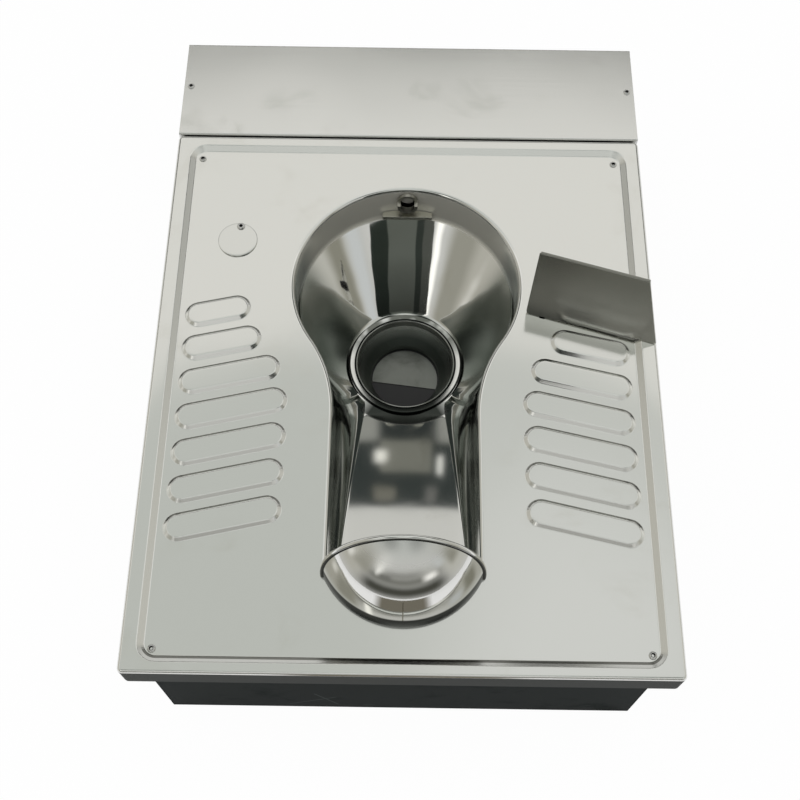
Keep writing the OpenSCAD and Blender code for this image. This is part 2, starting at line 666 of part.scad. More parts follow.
// the turns' corners stand a little wider, so that the flats between them clear the shaft
spring_r = (shaft_r + spring_wire_r + clear) / cos(180 / spring_per_turn);
spring_leg = shaft_z - base_t - clear;
spring_tail = 7;
spring_s = -arm_s - arm_t / 2 - clear - spring_wire_r - spring_turns * spring_pitch - 1;
function spring_point(k) =
    let(a = 360 * k / spring_per_turn)
    [spring_s + spring_pitch * k / spring_per_turn, spring_r * cos(a), spring_r * sin(a)];
spring_path = concat(
    [spring_point(0) + [-1, 0, -spring_leg], spring_point(0) + [-0.5, 0, -spring_leg / 2]],
    [for (k = [0 : spring_steps]) spring_point(k)],
    [spring_point(spring_steps) + [0.5, 0, spring_tail / 2], spring_point(spring_steps) + [1, 0, spring_tail]]);
spring_gap = min([for (i = [0 : spring_steps]) for (j = [i + spring_per_turn / 2 : spring_steps])
    norm(spring_point(j) - spring_point(i))]) - 2 * spring_wire_r;
echo(spring_gap = spring_gap);
// rings of a round section along a path; side is roughly square to the path everywhere
function sweep(path, r, sides, ref) = let(n = len(path)) [
    for (k = [0 : n - 1])
        let(t0 = path[min(n - 1, k + 1)] - path[max(0, k - 1)], t = t0 / norm(t0),
            s0 = cross(t, ref), s = s0 / norm(s0), u = cross(s, t))
        [for (j = [0 : sides - 1]) let(g = 360 * j / sides) path[k] + r * (s * cos(g) + u * sin(g))]];
module return_spring() color("dimgray") at_linkage() translate([0, -shaft_set, shaft_z])
    skin(sweep(spring_path, spring_wire_r, spring_sides, [1, 0, 0]));

// ---------- pedal ----------

lug_t = 3;
lug_in = 6.5;
lug_out = 15;
lug_s0 = pedal_in + lug_in;
lug_s1 = pedal_in + pedal_w - lug_out;
lug_r = tube_r - 0.2;
tube_s0 = lug_s0 + lug_t + 2.5;
tube_s1 = lug_s1 - 2;
plate_edge_lift = panel_drop + 1.4;
hem_h = 8;
hem_gap = 0.4;
corner = 4;          // cut corner at the plate's inner foot
// the plate lies in its own frame: x along the pedal, y up its slope, z forward of its front face
module on_plate() at_linkage() translate([0, pedal_set, plate_foot_z]) rotate([pedal_slope, 0, 0]) children();
module pedal_plate() color("dimgray") on_plate() {
    translate([0, 0, -pedal_t]) linear_extrude(pedal_t) polygon([
        [pedal_in + corner, 0], [pedal_in + corner / 4, corner / 4], [pedal_in, corner], [pedal_in, pedal_h],
        [pedal_in + pedal_top_w, pedal_h], [pedal_in + pedal_w, plate_edge_lift]]);
    // hem folded back along the top edge
    translate([0, 0, -2 * pedal_t - hem_gap]) linear_extrude(pedal_t + hem_gap) polygon([
        [pedal_in + 1, pedal_h - hem_h], [pedal_in + 1, pedal_h], [pedal_in + pedal_top_w, pedal_h],
        [pedal_in + pedal_top_w + 2, pedal_h - hem_h]]);
}
module pedal_tube() color("silver") at_linkage() difference() {
    shaft_rod(tube_s0, tube_s1 - tube_s0, pedal_axis_n, pedal_axis_z, tube_r);
    shaft_rod(tube_s0 - 1, tube_s1 - tube_s0 + 2, pedal_axis_n, pedal_axis_z, pin_r + fit);
}
pin_over = 2;
module pedal_pin() color("silver") at_linkage() {
    shaft_rod(lug_s0 - pin_over, lug_s1 + lug_t - lug_s0 + 2 * pin_over, pedal_axis_n, pedal_axis_z, pin_r);
    shaft_rod(lug_s0 - pin_over, pin_head_t, pedal_axis_n, pedal_axis_z, pin_r + 1);
}
module lug(s, foot_z) on_shaft_plane(s, lug_t) difference() {
    union() {
        translate([pedal_axis_n - lug_r, foot_z]) square([2 * lug_r, pedal_axis_z - foot_z]);
        translate([pedal_axis_n, pedal_axis_z]) circle(r = lug_r, $fn = round_fn);
    }
    translate([pedal_axis_n, pedal_axis_z]) circle(r = pin_r, $fn = round_fn);
}
module pedal_lugs() color("silver") at_linkage() {
    lug(lug_s0, panel_z);
    lug(lug_s1, body_h);
}
module pedal_crank() color("gray") {
    difference() {
        at_linkage() on_shaft_plane(crank_s - crank_t / 2, crank_t) crank_shape(pedal_axis_n, pedal_axis_z);
        at_linkage() shaft_rod(crank_s - crank_t, 2 * crank_t, pedal_axis_n, pedal_axis_z, tube_r);
        // cut off along the back of the plate
        on_plate() translate([pedal_in, -pedal_h / 2, -pedal_t]) cube([pedal_w, pedal_h, crank_r]);
    }
    at_linkage() crank_pin(upper_pin);
}
bumper_s = pedal_in + pedal_top_w / 2;
bumper_up = pedal_h - 22;
bumper_r = 8;
bumper_l = 17;
module pedal_bumper() color("black") on_plate() translate([bumper_s, bumper_up, -pedal_t - bumper_l])
    cylinder(h = bumper_l, r1 = bumper_r - 2, r2 = bumper_r, $fn = round_fn);

// ---------- port with a swivelling cover ----------

lid_t = 1.5;
pivot_head_r = 4.5;
pivot_head_t = 1.6;
pivot_under = 2;     // thickness of the rivet's head under the deck
module port_cover() color("silver") from_front() translate([port_x, port_y, panel_z + clear]) difference() {
    cylinder(h = lid_t, r = port_cover_r, $fn = round_fn);
    translate([port_pivot[0], port_pivot[1], -lid_t])
        cylinder(h = 3 * lid_t, r = port_pivot_r + fit, $fn = round_fn);
}
module port_rivet() color("silver") from_front()
    translate([port_x + port_pivot[0], port_y + port_pivot[1], panel_z]) {
        translate([0, 0, -sheet_t - pivot_under])
            cylinder(h = sheet_t + pivot_under + 2 * clear + lid_t, r = port_pivot_r, $fn = round_fn);
        translate([0, 0, 2 * clear + lid_t])
            cylinder(h = pivot_head_t, r1 = pivot_head_r, r2 = pivot_head_r - pivot_head_t, $fn = round_fn);
        translate([0, 0, -sheet_t - pivot_under]) cylinder(h = pivot_under, r = pivot_head_r, $fn = round_fn);
    }

// ---------- box ----------

box_x = deck_w / 2 - box_inset;
box_y0 = box_front;
box_y1 = deck_l - box_rear;
flange_l = 15;
flange_front = 8;    // the top flange starts this far behind the front wall's flange
flange_rear = 16;
module wall(x0, y0, z0, x1, y1, z1) translate([x0, y0, z0]) cube([x1 - x0, y1 - y0, z1 - z0]);
module side_panel() difference() {
    union() {
        wall(box_x - sheet_t, box_y0, base_t, box_x, box_y1, panel_under_z);
        wall(box_x - flange_l, box_y0 + 2 * sheet_t + flange_front, panel_under_z - sheet_t, box_x - sheet_t / 2,
            box_y1 - flange_rear, panel_under_z);
        wall(box_x - flange_l, box_y0 + sheet_t + 1, base_t, box_x - sheet_t / 2, box_y1 - sheet_t - 1,
            base_t + sheet_t);
    }
    deck_rivet_places() translate([0, 0, -past]) cylinder(h = 2 * past, r = rivet_hole_r, $fn = round_fn);
}
module right_panel() color("darkslategray") from_front() side_panel();
module left_panel() color("darkslategray") from_front() mirror([1, 0, 0]) side_panel();
module front_panel() color("darkslategray") from_front()
    wall(-box_x + sheet_t, box_y0, base_t, box_x - sheet_t, box_y0 + sheet_t, border_under_z);
hose_hole_r = hose_r + 2.5;
module rear_panel() color("darkslategray") from_front() difference() {
    wall(-box_x + sheet_t, box_y1 - sheet_t, base_t, box_x - sheet_t, box_y1, border_under_z);
    y_rod(inlet_x, box_y1 - past, inlet_z, 2 * past, hose_hole_r);
}

service_y0 = deck_l + seam + sheet_t;
inlet_hex_t = 5;
inlet_shank_r = inlet_r - 1.5;
service_y1 = total_l - inlet_l - inlet_hex_t;
service_x = deck_w / 2 - 1;
cover_rivet_x = deck_w / 2 - 8;
cover_rivet_y = deck_l + seam + 70;
well_x = 80;
well_front = shaft_set + 32;
well_back = seal_r + 20;
anchor_y0 = 45;
module base_plate() color("darkslategray") from_front() difference() {
    union() {
        wall(-box_x, box_y0, 0, box_x, service_y0, base_t);
        wall(-service_x, service_y0, 0, service_x, service_y1, base_t);
    }
    wall(-well_x, drain_y - well_front, -1, well_x, drain_y + well_back, base_t + 1);
    for (x = [-anchor_w / 2, anchor_w / 2]) for (y = [anchor_y0, anchor_y0 + anchor_l])
        translate([x, y, -1]) cylinder(h = base_t + 2, r = anchor_r, $fn = round_fn);
    translate([0, drain_y, 0]) rotate([0, 0, -pedal_turn]) both_bolt_places() translate([0, 0, -past])
        cylinder(h = 2 * past, r = bracket_bolt_r, $fn = round_fn);
}
service_notch = 12;   // the front wall stops this far below the cover
module service_box() color("darkslategray") from_front() difference() {
    union() {
        wall(-service_x, service_y0, base_t, service_x, service_y1, base_t + sheet_t);
        for (x = [-service_x, service_x - sheet_t])
            wall(x, service_y0, base_t, x + sheet_t, service_y1, border_under_z);
        for (x = [-service_x, service_x - flange_l])
            wall(x, service_y0, border_under_z - sheet_t, x + flange_l, service_y1, border_under_z);
        wall(-service_x, service_y0, base_t, service_x, service_y0 + sheet_t, border_under_z - service_notch);
        wall(-service_x, service_y1 - sheet_t, base_t, service_x, service_y1, border_under_z);
    }
    for (x = [-cover_rivet_x, cover_rivet_x]) translate([x, cover_rivet_y, body_h - past])
        cylinder(h = 2 * past, r = rivet_hole_r, $fn = round_fn);
    y_rod(inlet_x, service_y0 - past, inlet_z, 2 * past, hose_hole_r);
    y_rod(inlet_x, service_y1 - past, inlet_z, 2 * past, inlet_shank_r);
}
cover_y0 = deck_l + seam;
cover_front_lip = 24;
cover_rear_lip = 28;
module rear_cover() color("gainsboro") from_front() difference() {
    union() {
        wall(-deck_w / 2, cover_y0, border_under_z, deck_w / 2, total_l, body_h);
        wall(-deck_w / 2, cover_y0, body_h - cover_front_lip, deck_w / 2, cover_y0 + sheet_t, body_h);
        wall(-deck_w / 2, total_l - sheet_t, body_h - cover_rear_lip, deck_w / 2, total_l, body_h);
    }
    for (x = [-cover_rivet_x, cover_rivet_x]) translate([x, cover_rivet_y, body_h - past])
        cylinder(h = 2 * past, r = rivet_hole_r, $fn = round_fn);
}
module cover_rivets() color("silver") from_front() for (x = [-cover_rivet_x, cover_rivet_x])
    translate([x, cover_rivet_y, body_h]) blind_rivet(2 * sheet_t);

// ---------- water supply ----------

spout_r = nozzle_bore_r + 3.5;
spout_l = 11;
wall_y = nozzle_y - wall_in - clear;      // front face of the spout's flange, just off the bowl's rear wall
elbow_back = 30;
nozzle_bore_l = 18;
nozzle_nut_t = 5;
nozzle_nut_r = nozzle_r + 3.5;
nozzle_port_x = nozzle_r + 12;
nozzle_port_y = nozzle_y + elbow_back - hose_r - 2;
module y_rod(x, y, z, l, r, fn = round_fn)
    translate([x, y, z]) rotate([-90, 0, 0]) cylinder(h = l, r = r, $fn = fn);
module flush_nozzle() color("silver") from_front() {
    difference() {
        translate([0, nozzle_y, nozzle_z]) rotate([-90, 0, 0]) rotate_extrude($fn = round_fn) polygon([
            [nozzle_bore_r, wall_y - spout_l - nozzle_y], [spout_r, wall_y - spout_l - nozzle_y],
            [spout_r, wall_y - nozzle_y - 0.7], [nozzle_r, wall_y - nozzle_y - 0.7], [nozzle_r, elbow_back],
            [0, elbow_back], [0, nozzle_bore_l], [nozzle_bore_r, nozzle_bore_l]]);
        // the spout's open upper half
        translate([-spout_r - 1, wall_y - spout_l - 1, nozzle_z + 2]) cube([2 * spout_r + 2, spout_l - 3, spout_r]);
    }
    difference() {
        translate([0, nozzle_port_y, nozzle_z]) rotate([0, 90, 0])
            cylinder(h = nozzle_port_x, r = hose_r, $fn = round_fn);
        y_rod(0, nozzle_y, nozzle_z, elbow_back, nozzle_r - 1);
    }
}
module nozzle_nut() color("silver") from_front() difference() {
    y_rod(0, nozzle_y + sheet_t + clear, nozzle_z, nozzle_nut_t, nozzle_nut_r, 6);
    y_rod(0, nozzle_y, nozzle_z, past, nozzle_r);
}
spreader_w = 57;
spreader_drop = 41;       // depth of the shelf's underside below the deck's border
spreader_reach = 16;
spreader_lip = 4;
module spreader_plate() color("silver") from_front() intersection() {
    y0 = nozzle_y - spreader_reach;
    union() {
        translate([-spreader_w / 2, y0, body_h - spreader_drop]) cube([spreader_w, spreader_reach, sheet_t]);
        translate([-spreader_w / 2, y0, body_h - spreader_drop - spreader_lip])
            cube([spreader_w, sheet_t, spreader_lip + thin]);
    }
    // its back edge follows the bowl's rear wall
    translate([0, bowl_y, 0]) cylinder(h = body_h, r = bowl_r - wall_in - 2 * clear, $fn = 96);
}
inlet_in = 26;
inlet_hex_r = inlet_r + 4.5;
inlet_nut_t = 4;
inlet_tail = 14;
module inlet_fitting() color("goldenrod") from_front() {
    // thread outside, hex against the rear wall, shank through it, hose tail
    y_rod(inlet_x, service_y1 + inlet_hex_t, inlet_z, inlet_l, inlet_r);
    y_rod(inlet_x, service_y1, inlet_z, inlet_hex_t, inlet_hex_r, 6);
    y_rod(inlet_x, service_y1 - inlet_in, inlet_z, inlet_in, inlet_shank_r);
    y_rod(inlet_x, service_y1 - inlet_in - inlet_tail, inlet_z, inlet_tail, hose_r);
}
module inlet_nut() color("goldenrod") from_front() difference() {
    y_rod(inlet_x, service_y1 - sheet_t - inlet_nut_t, inlet_z, inlet_nut_t, inlet_hex_r, 6);
    y_rod(inlet_x, service_y1 - sheet_t - inlet_nut_t - 1, inlet_z, inlet_nut_t + 2, inlet_shank_r);
}

// flush valve on the base, pushed by the finger on the flap's shaft
valve_n0 = -shaft_set - 25;
valve_l = 62;
valve_r = 12;
plunger_r = 4;
plunger_head_r = 6;
plunger_head_t = 3;
plunger_gap = 0.5;
finger_dn = finger_r * sin(stroke / 2);
valve_z = shaft_z - finger_r * (1 + cos(stroke / 2)) / 2;
plunger_n = -shaft_set + finger_dn - finger_tip_r - plunger_gap;
plunger_travel = 2 * finger_dn;
plunger_l = plunger_n - plunger_head_t - valve_n0 + 12;
module n_rod(s, n, z, l, r, fn = round_fn) translate([s, n, z]) rotate([90, 0, 0]) cylinder(h = l, r = r, $fn = fn);
port_l = 12;
side_port_n = valve_n0 - valve_l + port_l;
saddle_w = 18;
saddle_l = valve_l - 20;
module valve_body() color("goldenrod") at_linkage() difference() {
    union() {
        n_rod(finger_s, valve_n0, valve_z, valve_l, valve_r);
        n_rod(finger_s, valve_n0 - valve_l, valve_z, port_l, hose_r);
        translate([finger_s, side_port_n, valve_z]) rotate([0, 90, 0])
            cylinder(h = valve_r + port_l, r = hose_r, $fn = round_fn);
        translate([finger_s - saddle_w / 2, valve_n0 - valve_l + sheet_t, base_t])
            cube([saddle_w, saddle_l, valve_z - base_t]);
    }
    n_rod(finger_s, valve_n0 + 1, valve_z, plunger_travel + past, plunger_r + fit);
}
module valve_plunger() color("silver") at_linkage() {
    n_rod(finger_s, plunger_n, valve_z, plunger_head_t, plunger_head_r);
    n_rod(finger_s, plunger_n - plunger_head_t, valve_z, plunger_l, plunger_r);
}

// hoses, swept along smooth curves through points chosen by hand, from the deck's front edge
function spline(p0, p1, p2, p3, t) = 0.5 * (2 * p1 + (p2 - p0) * t
    + (2 * p0 - 5 * p1 + 4 * p2 - p3) * t * t + (3 * p1 - p0 - 3 * p2 + p3) * t * t * t);
curve_steps = 3;
function curve(p) = let(n = len(p)) concat(
    [for (k = [0 : n - 2]) for (j = [0 : curve_steps - 1])
        spline(p[max(0, k - 1)], p[k], p[k + 1], p[min(n - 1, k + 2)], j / curve_steps)],
    [p[n - 1]]);
function from_link(s, n, z) = [
    s * cos(pedal_turn) + n * sin(pedal_turn),
    drain_y - s * sin(pedal_turn) + n * cos(pedal_turn), z];
valve_end = valve_n0 - valve_l - port_l;
inlet_start = service_y1 - inlet_in - inlet_tail;
inlet_lead = 120;    // straight run of the hose before the inlet
port_lead = 14;      // straight run of a hose before a smaller port
supply_route = concat(
    [for (d = [0, port_lead / 2, port_lead]) from_link(finger_s, valve_end - d, valve_z)],
    [[60, 140, valve_z], [70, 112, valve_z], [98, 92, valve_z], [135, 88, 28], [170, 100, 29], [195, 128, 32],
        [inlet_x, 170, 38], [inlet_x, 230, 46], [inlet_x, 300, 54], [inlet_x, 370, inlet_z]],
    [for (d = [inlet_lead, inlet_lead / 2, 0]) [inlet_x, inlet_start - d, inlet_z]]);
hose_ring_r = bowl_r + 34;
side_port_s = finger_s + valve_r + port_l;
flush_route = concat(
    [for (d = [0, 7, 14]) from_link(side_port_s + d, side_port_n, valve_z)],
    [[142, 182, 30], [166, 194, 36], [178, 222, 50], [180, 262, 72], [180, 304, 98], [179, 346, 124],
        [176, 388, 144], [170, 424, nozzle_z - 4], [158, 460, nozzle_z - 2], [140, 494, nozzle_z],
        [116, 524, nozzle_z], [88, 548, nozzle_z], [58, 564, nozzle_z]],
    [for (d = [port_lead, port_lead / 2, 0]) [nozzle_port_x + d, nozzle_port_y, nozzle_z]]);
hose_sides = 10;
module hose(route) skin(sweep(curve(route), hose_r, hose_sides, [0, 0, 1]));
module supply_hose() color("black") from_front() hose(supply_route);
module flush_hose() color("black") from_front() hose(flush_route);
clamp_ring_t = 1.2;
clamp_ring_w = 8;
module ring_between(r) difference() {
    cylinder(h = clamp_ring_w, r = r + clamp_ring_t, center = true, $fn = round_fn);
    cylinder(h = clamp_ring_w + 2, r = r, center = true, $fn = round_fn);
}
module hose_clamps() color("silver") {
    at_linkage() translate([finger_s, valve_end + clamp_ring_w / 2 + 1, valve_z]) rotate([90, 0, 0]) ring_between(hose_r);
    at_linkage() translate([side_port_s - clamp_ring_w / 2 - 1, side_port_n, valve_z]) rotate([0, 90, 0]) ring_between(hose_r);
    from_front() translate([inlet_x, inlet_start + clamp_ring_w / 2 + 1, inlet_z]) rotate([90, 0, 0]) ring_between(hose_r);
    from_front() translate([nozzle_port_x - clamp_ring_w / 2 - 0.5, nozzle_port_y, nozzle_z]) rotate([0, 90, 0])
        ring_between(hose_r);
}

deck();
bowl();
splash_hood();
hood_bead();
drain_collar();
collar_gasket();
flap_disc();
flap_seal();
flap_clamp_plate();
flap_arms();
flap_shaft();
flap_crank();
shaft_brackets();
shaft_bushes();
bracket_bolts();
return_spring();
link_rod();
pedal_plate();
pedal_tube();
pedal_crank();
pedal_pin();
pedal_lugs();
pedal_bumper();
port_cover();
port_rivet();
deck_rivets();
rear_cover();
cover_rivets();
front_panel();
left_panel();
right_panel();
rear_panel();
base_plate();
service_box();
flush_nozzle();
nozzle_nut();
spreader_plate();
inlet_fitting();
inlet_nut();
supply_hose();
flush_hose();
hose_clamps();
valve_body();
valve_plunger();
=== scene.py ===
import json
from math import atan, atan2, cos, degrees, hypot, pi, radians, sin, sqrt, tan, tau
import bmesh
import bpy
from mathutils import Matrix, Vector


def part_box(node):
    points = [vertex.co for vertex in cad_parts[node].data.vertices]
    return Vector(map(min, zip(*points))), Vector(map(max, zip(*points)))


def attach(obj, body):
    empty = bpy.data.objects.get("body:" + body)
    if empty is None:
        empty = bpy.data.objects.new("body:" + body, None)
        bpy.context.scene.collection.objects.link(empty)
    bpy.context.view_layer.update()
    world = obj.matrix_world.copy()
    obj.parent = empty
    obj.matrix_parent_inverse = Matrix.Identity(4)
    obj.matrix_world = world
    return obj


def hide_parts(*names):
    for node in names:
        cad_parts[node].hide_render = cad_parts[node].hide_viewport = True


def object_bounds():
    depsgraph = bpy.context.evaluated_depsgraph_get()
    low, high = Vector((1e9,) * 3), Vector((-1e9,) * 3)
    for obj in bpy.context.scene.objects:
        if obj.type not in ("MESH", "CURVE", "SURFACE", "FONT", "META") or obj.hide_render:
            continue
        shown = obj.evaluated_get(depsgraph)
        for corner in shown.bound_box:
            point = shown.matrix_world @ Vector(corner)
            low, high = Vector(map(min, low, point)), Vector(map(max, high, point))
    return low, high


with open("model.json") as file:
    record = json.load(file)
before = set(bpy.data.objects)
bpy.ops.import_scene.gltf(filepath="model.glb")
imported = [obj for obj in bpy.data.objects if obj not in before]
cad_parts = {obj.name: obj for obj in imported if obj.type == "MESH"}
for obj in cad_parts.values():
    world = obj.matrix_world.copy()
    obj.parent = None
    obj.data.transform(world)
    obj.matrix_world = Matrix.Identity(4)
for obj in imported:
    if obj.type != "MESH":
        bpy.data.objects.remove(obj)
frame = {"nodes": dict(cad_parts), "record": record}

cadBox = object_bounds()
nodes = frame["nodes"]
mm = 0.001
deckLow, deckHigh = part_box("deck")
frontY = deckLow.y / mm          # the deck's front edge; places below count back from it
borderTop = deckHigh.z / mm      # top of the deck's raised border


def place(x, y, z):
    # millimetres from the middle and the deck's front edge, to metres in the part's frame
    return Vector((x * mm, (frontY + y) * mm, z * mm))


# shared sizes, in millimetres

sheet = 1.5
weldGap = 1e-6                   # metres between points that become one
panelZ = borderTop - 4.5
rim = {"round": 126, "roundY": 428, "slot": 78.5, "throat": 150, "roll": 4, "drainY": 389}
hood = {"radius": 86, "y": 134, "height": 78, "mouthSet": 36, "lean": 10, "bead": 3, "beadSteps": 72}
linkTurn = 16.4                  # degrees between the pedal and the deck's width


def linkPlace(s, n, z):
    # s runs along the pedal, n to the rear, from the drain's middle
    turn = radians(linkTurn)
    return place(s * cos(turn) + n * sin(turn),
                 rim["drainY"] - s * sin(turn) + n * cos(turn), z)


# mesh helpers

def deselect():
    if bpy.context.object and bpy.context.object.mode != "OBJECT":
        bpy.ops.object.mode_set(mode="OBJECT")
    bpy.ops.object.select_all(action="DESELECT")


def activate(piece):
    deselect()
    piece.select_set(True)
    bpy.context.view_layer.objects.active = piece


def editAll(piece):
    activate(piece)
    bpy.ops.object.mode_set(mode="EDIT")
    bpy.ops.mesh.select_all(action="SELECT")


def cutMesh(point, normal, **sides):
    bpy.ops.mesh.select_all(action="SELECT")
    bpy.ops.mesh.bisect(plane_co=point, plane_no=normal, **sides)


def closeMesh():
    # turns the faces outwards and leaves edit mode
    bpy.ops.mesh.select_all(action="SELECT")
    bpy.ops.mesh.normals_make_consistent(inside=False)
    bpy.ops.object.mode_set(mode="OBJECT")


def faceUp(piece):
    # a sheet's fronts look up on the whole
    if sum(f.normal.z * f.area for f in piece.data.polygons) < 0:
        piece.data.flip_normals()


def newPiece(name, mesh):
    piece = bpy.data.objects.new(name, mesh)
    bpy.context.scene.collection.objects.link(piece)
    return piece


def meshPiece(name, points, faces):
    mesh = bpy.data.meshes.new(name)
    mesh.from_pydata([tuple(p) for p in points], [], faces)
    mesh.update()
    return newPiece(name, mesh)


def bmeshPiece(name, bm):
    mesh = bpy.data.meshes.new(name)
    bm.to_mesh(mesh)
    bm.free()
    return newPiece(name, mesh)


def applyAll(piece):
    activate(piece)
    for modifier in list(piece.modifiers):
        bpy.ops.object.modifier_apply(modifier=modifier.name)


def thicken(piece, thickness):
    # the wall grows inwards, away from the faces' fronts
    wall = piece.modifiers.new("wall", "SOLIDIFY")
    wall.thickness = thickness * mm
    wall.offset = -1
    wall.use_even_offset = True
    applyAll(piece)


def smoothSheet(piece, angle):
    activate(piece)
    bpy.ops.object.shade_smooth_by_angle(angle=radians(angle))
    weighted = piece.modifiers.new("weighted", "WEIGHTED_NORMAL")
    weighted.keep_sharp = True
    applyAll(piece)


def stackRings(bm, loops):
    # closed rings of the same length with quads between them
    rings = [[bm.verts.new(p) for p in loop] for loop in loops]
    count = len(rings[0])
    for lower, upper in zip(rings, rings[1:]):
        for k in range(count):
            bm.faces.new((lower[k], lower[(k + 1) % count], upper[(k + 1) % count], upper[k]))
    return rings


def ringEdges(bm, ring):
    # a closed ring's edges, made where there are none yet
    return [bm.edges.get(pair) or bm.edges.new(pair) for pair in zip(ring, ring[1:] + ring[:1])]


def fillet(corners, radius, steps):
    # rounds the inner corners of a profile of (distance, height) pairs
    line = [corners[0]]
    for before, here, after in zip(corners, corners[1:], corners[2:]):
        toBefore, toAfter = Vector(before) - Vector(here), Vector(after) - Vector(here)
        a, b = toBefore.normalized(), toAfter.normalized()
        half = a.angle(b) / 2
        # a bend takes less than half of the shorter side
        run = min(radius / tan(half), 0.45 * min(toBefore.length, toAfter.length))
        start, end = Vector(here) + a * run, Vector(here) + b * run
        size = run * tan(half)
        centre = Vector(here) + (a + b).normalized() * (size / sin(half))
        first, last = start - centre, end - centre
        sweep = first.angle(last)
        for k in range(steps + 1):
            share = k / steps
            spoke = (first * sin((1 - share) * sweep) + last * sin(share * sweep)) / sin(sweep)
            line.append(tuple(centre + spoke))
    line.append(corners[-1])
    return line


def roundedLoop(x, y0, y1, radius, z, steps=10):
    # rounded rectangle, anticlockwise from above
    points = []
    right, rear, front = x - radius, y1 - radius, y0 + radius
    for cx, cy, start in ((right, rear, 0), (-right, rear, 90), (-right, front, 180), (right, front, 270)):
        for k in range(steps + 1):
            a = radians(start + 90 * k / steps)
            points.append(place(cx + radius * cos(a), cy + radius * sin(a), z))
    return points


# outline of the bowl's rim, seen from the drain
# turn is 0 straight ahead and 180 straight back; inset is how far inside the rim the line lies

throatX = rim["slot"] + rim["throat"]
throatY = rim["roundY"] - sqrt((rim["round"] + rim["throat"]) ** 2 - throatX ** 2)
mouthHole = hood["radius"] - 2 * sheet


def turnMouth(inset):
    corner = hood["y"] - sqrt((mouthHole - inset) ** 2 - (rim["slot"] - inset) ** 2)
    return degrees(atan2(rim["slot"] - inset, rim["drainY"] - corner))


def turnSlot(inset):
    return degrees(atan2(rim["slot"] - inset, rim["drainY"] - throatY))


def turnThroat(inset):
    share = (rim["round"] - inset) / (rim["round"] + rim["throat"])
    ahead = rim["drainY"] - rim["roundY"] + (rim["roundY"] - throatY) * share
    return degrees(atan2(throatX * share, ahead))


def reach(turn, inset):
    b = radians(turn)
    if turn <= turnMouth(inset):
        d = rim["drainY"] - hood["y"]
        return cos(b) * d + sqrt((mouthHole - inset) ** 2 - (sin(b) * d) ** 2)
    if turn <= turnSlot(inset):
        return (rim["slot"] - inset) / sin(b)
    if turn <= turnThroat(inset):
        y = rim["drainY"] - throatY
        along = throatX * sin(b) + y * cos(b)
        return along - sqrt((rim["throat"] + inset) ** 2 - throatX ** 2 - y * y + along * along)
    e = rim["roundY"] - rim["drainY"]
    return -cos(b) * e + sqrt((rim["round"] - inset) ** 2 - (sin(b) * e) ** 2)


def spread(start, end, count):
    return [start + (end - start) * k / count for k in range(count)]


halfTurns = (spread(0, turnMouth(0), 20) + spread(turnMouth(0), turnSlot(0), 30)
             + spread(turnSlot(0), turnThroat(0), 30) + spread(turnThroat(0), 180, 60))
allTurns = halfTurns + [180] + [-b for b in reversed(halfTurns[1:])]


def atTurn(turn, distance, z):
    a = radians(turn)
    return place(distance * sin(a), rim["drainY"] - distance * cos(a), z)


def rimLoop(inset, z):
    return [atTurn(t, reach(abs(t), inset), z) for t in allTurns]


# camera

camera = {"lens": 53.16, "sensor": 36.0, "place": (-5.4, -247.0, 1266.3), "down": 64.1, "roll": 0.0142,
          "farthest": 50}


def makeCamera():
    data = bpy.data.cameras.new("photoCamera")
    data.lens = camera["lens"]
    data.sensor_width = camera["sensor"]
    data.clip_end = camera["farthest"]
    eye = newPiece("photoCamera", data)
    eye.matrix_world = (Matrix.Translation(place(*camera["place"]))
                        @ Matrix.Rotation(radians(90 - camera["down"]), 4, "X")
                        @ Matrix.Rotation(camera["roll"], 4, "Z"))
    bpy.context.scene.camera = eye


makeCamera()
print("camera ready")

# node helpers

def fillInputs(tree, node, inputs):
    # a socket is linked and any other value is set
    for key, value in inputs.items():
        if isinstance(value, bpy.types.NodeSocket):
            tree.links.new(value, node.inputs[key])
        else:
            node.inputs[key].default_value = value
    return node


def addNode(tree, kind, inputs=None, **settings):
    node = tree.nodes.new(kind)
    for key, value in settings.items():
        setattr(node, key, value)
    return fillInputs(tree, node, inputs or {})


def maths(tree, operation, a, b=0.0, clamp=False):
    return addNode(tree, "ShaderNodeMath", {0: a, 1: b}, operation=operation, use_clamp=clamp).outputs[0]


def minus(tree, a, b):
    return maths(tree, "SUBTRACT", a, b)


def times(tree, first, *others):
    for other in others:
        first = maths(tree, "MULTIPLY", first, other)
    return first


def ramp(tree, value, start, end, low=0.0, high=1.0, smooth=False):
    # low up to start and high from end on
    return addNode(tree, "ShaderNodeMapRange",
                   {"Value": value, "From Min": start, "From Max": end, "To Min": low, "To Max": high},
                   interpolation_type="SMOOTHSTEP" if smooth else "LINEAR").outputs[0]


def noise(tree, vector, scale, detail, **more):
    inputs = {"Vector": vector, "Scale": scale, "Detail": detail, **more}
    return addNode(tree, "ShaderNodeTexNoise", inputs).outputs[0]


def axes(tree, vector):
    return addNode(tree, "ShaderNodeSeparateXYZ", {0: vector}).outputs


def facing(tree, axis, kind="True Normal"):
    return axes(tree, addNode(tree, "ShaderNodeNewGeometry").outputs[kind])[axis]


def length(tree, a, b):
    return maths(tree, "SQRT", maths(tree, "ADD", times(tree, a, a), times(tree, b, b)))


def bandMask(tree, value, low, high, edge):
    # 1 between low and high in metres, with a soft edge
    middle, half = (low + high) / 2, (high - low) / 2
    off = maths(tree, "ABSOLUTE", minus(tree, value, middle))
    return ramp(tree, off, half + edge, half, smooth=True)


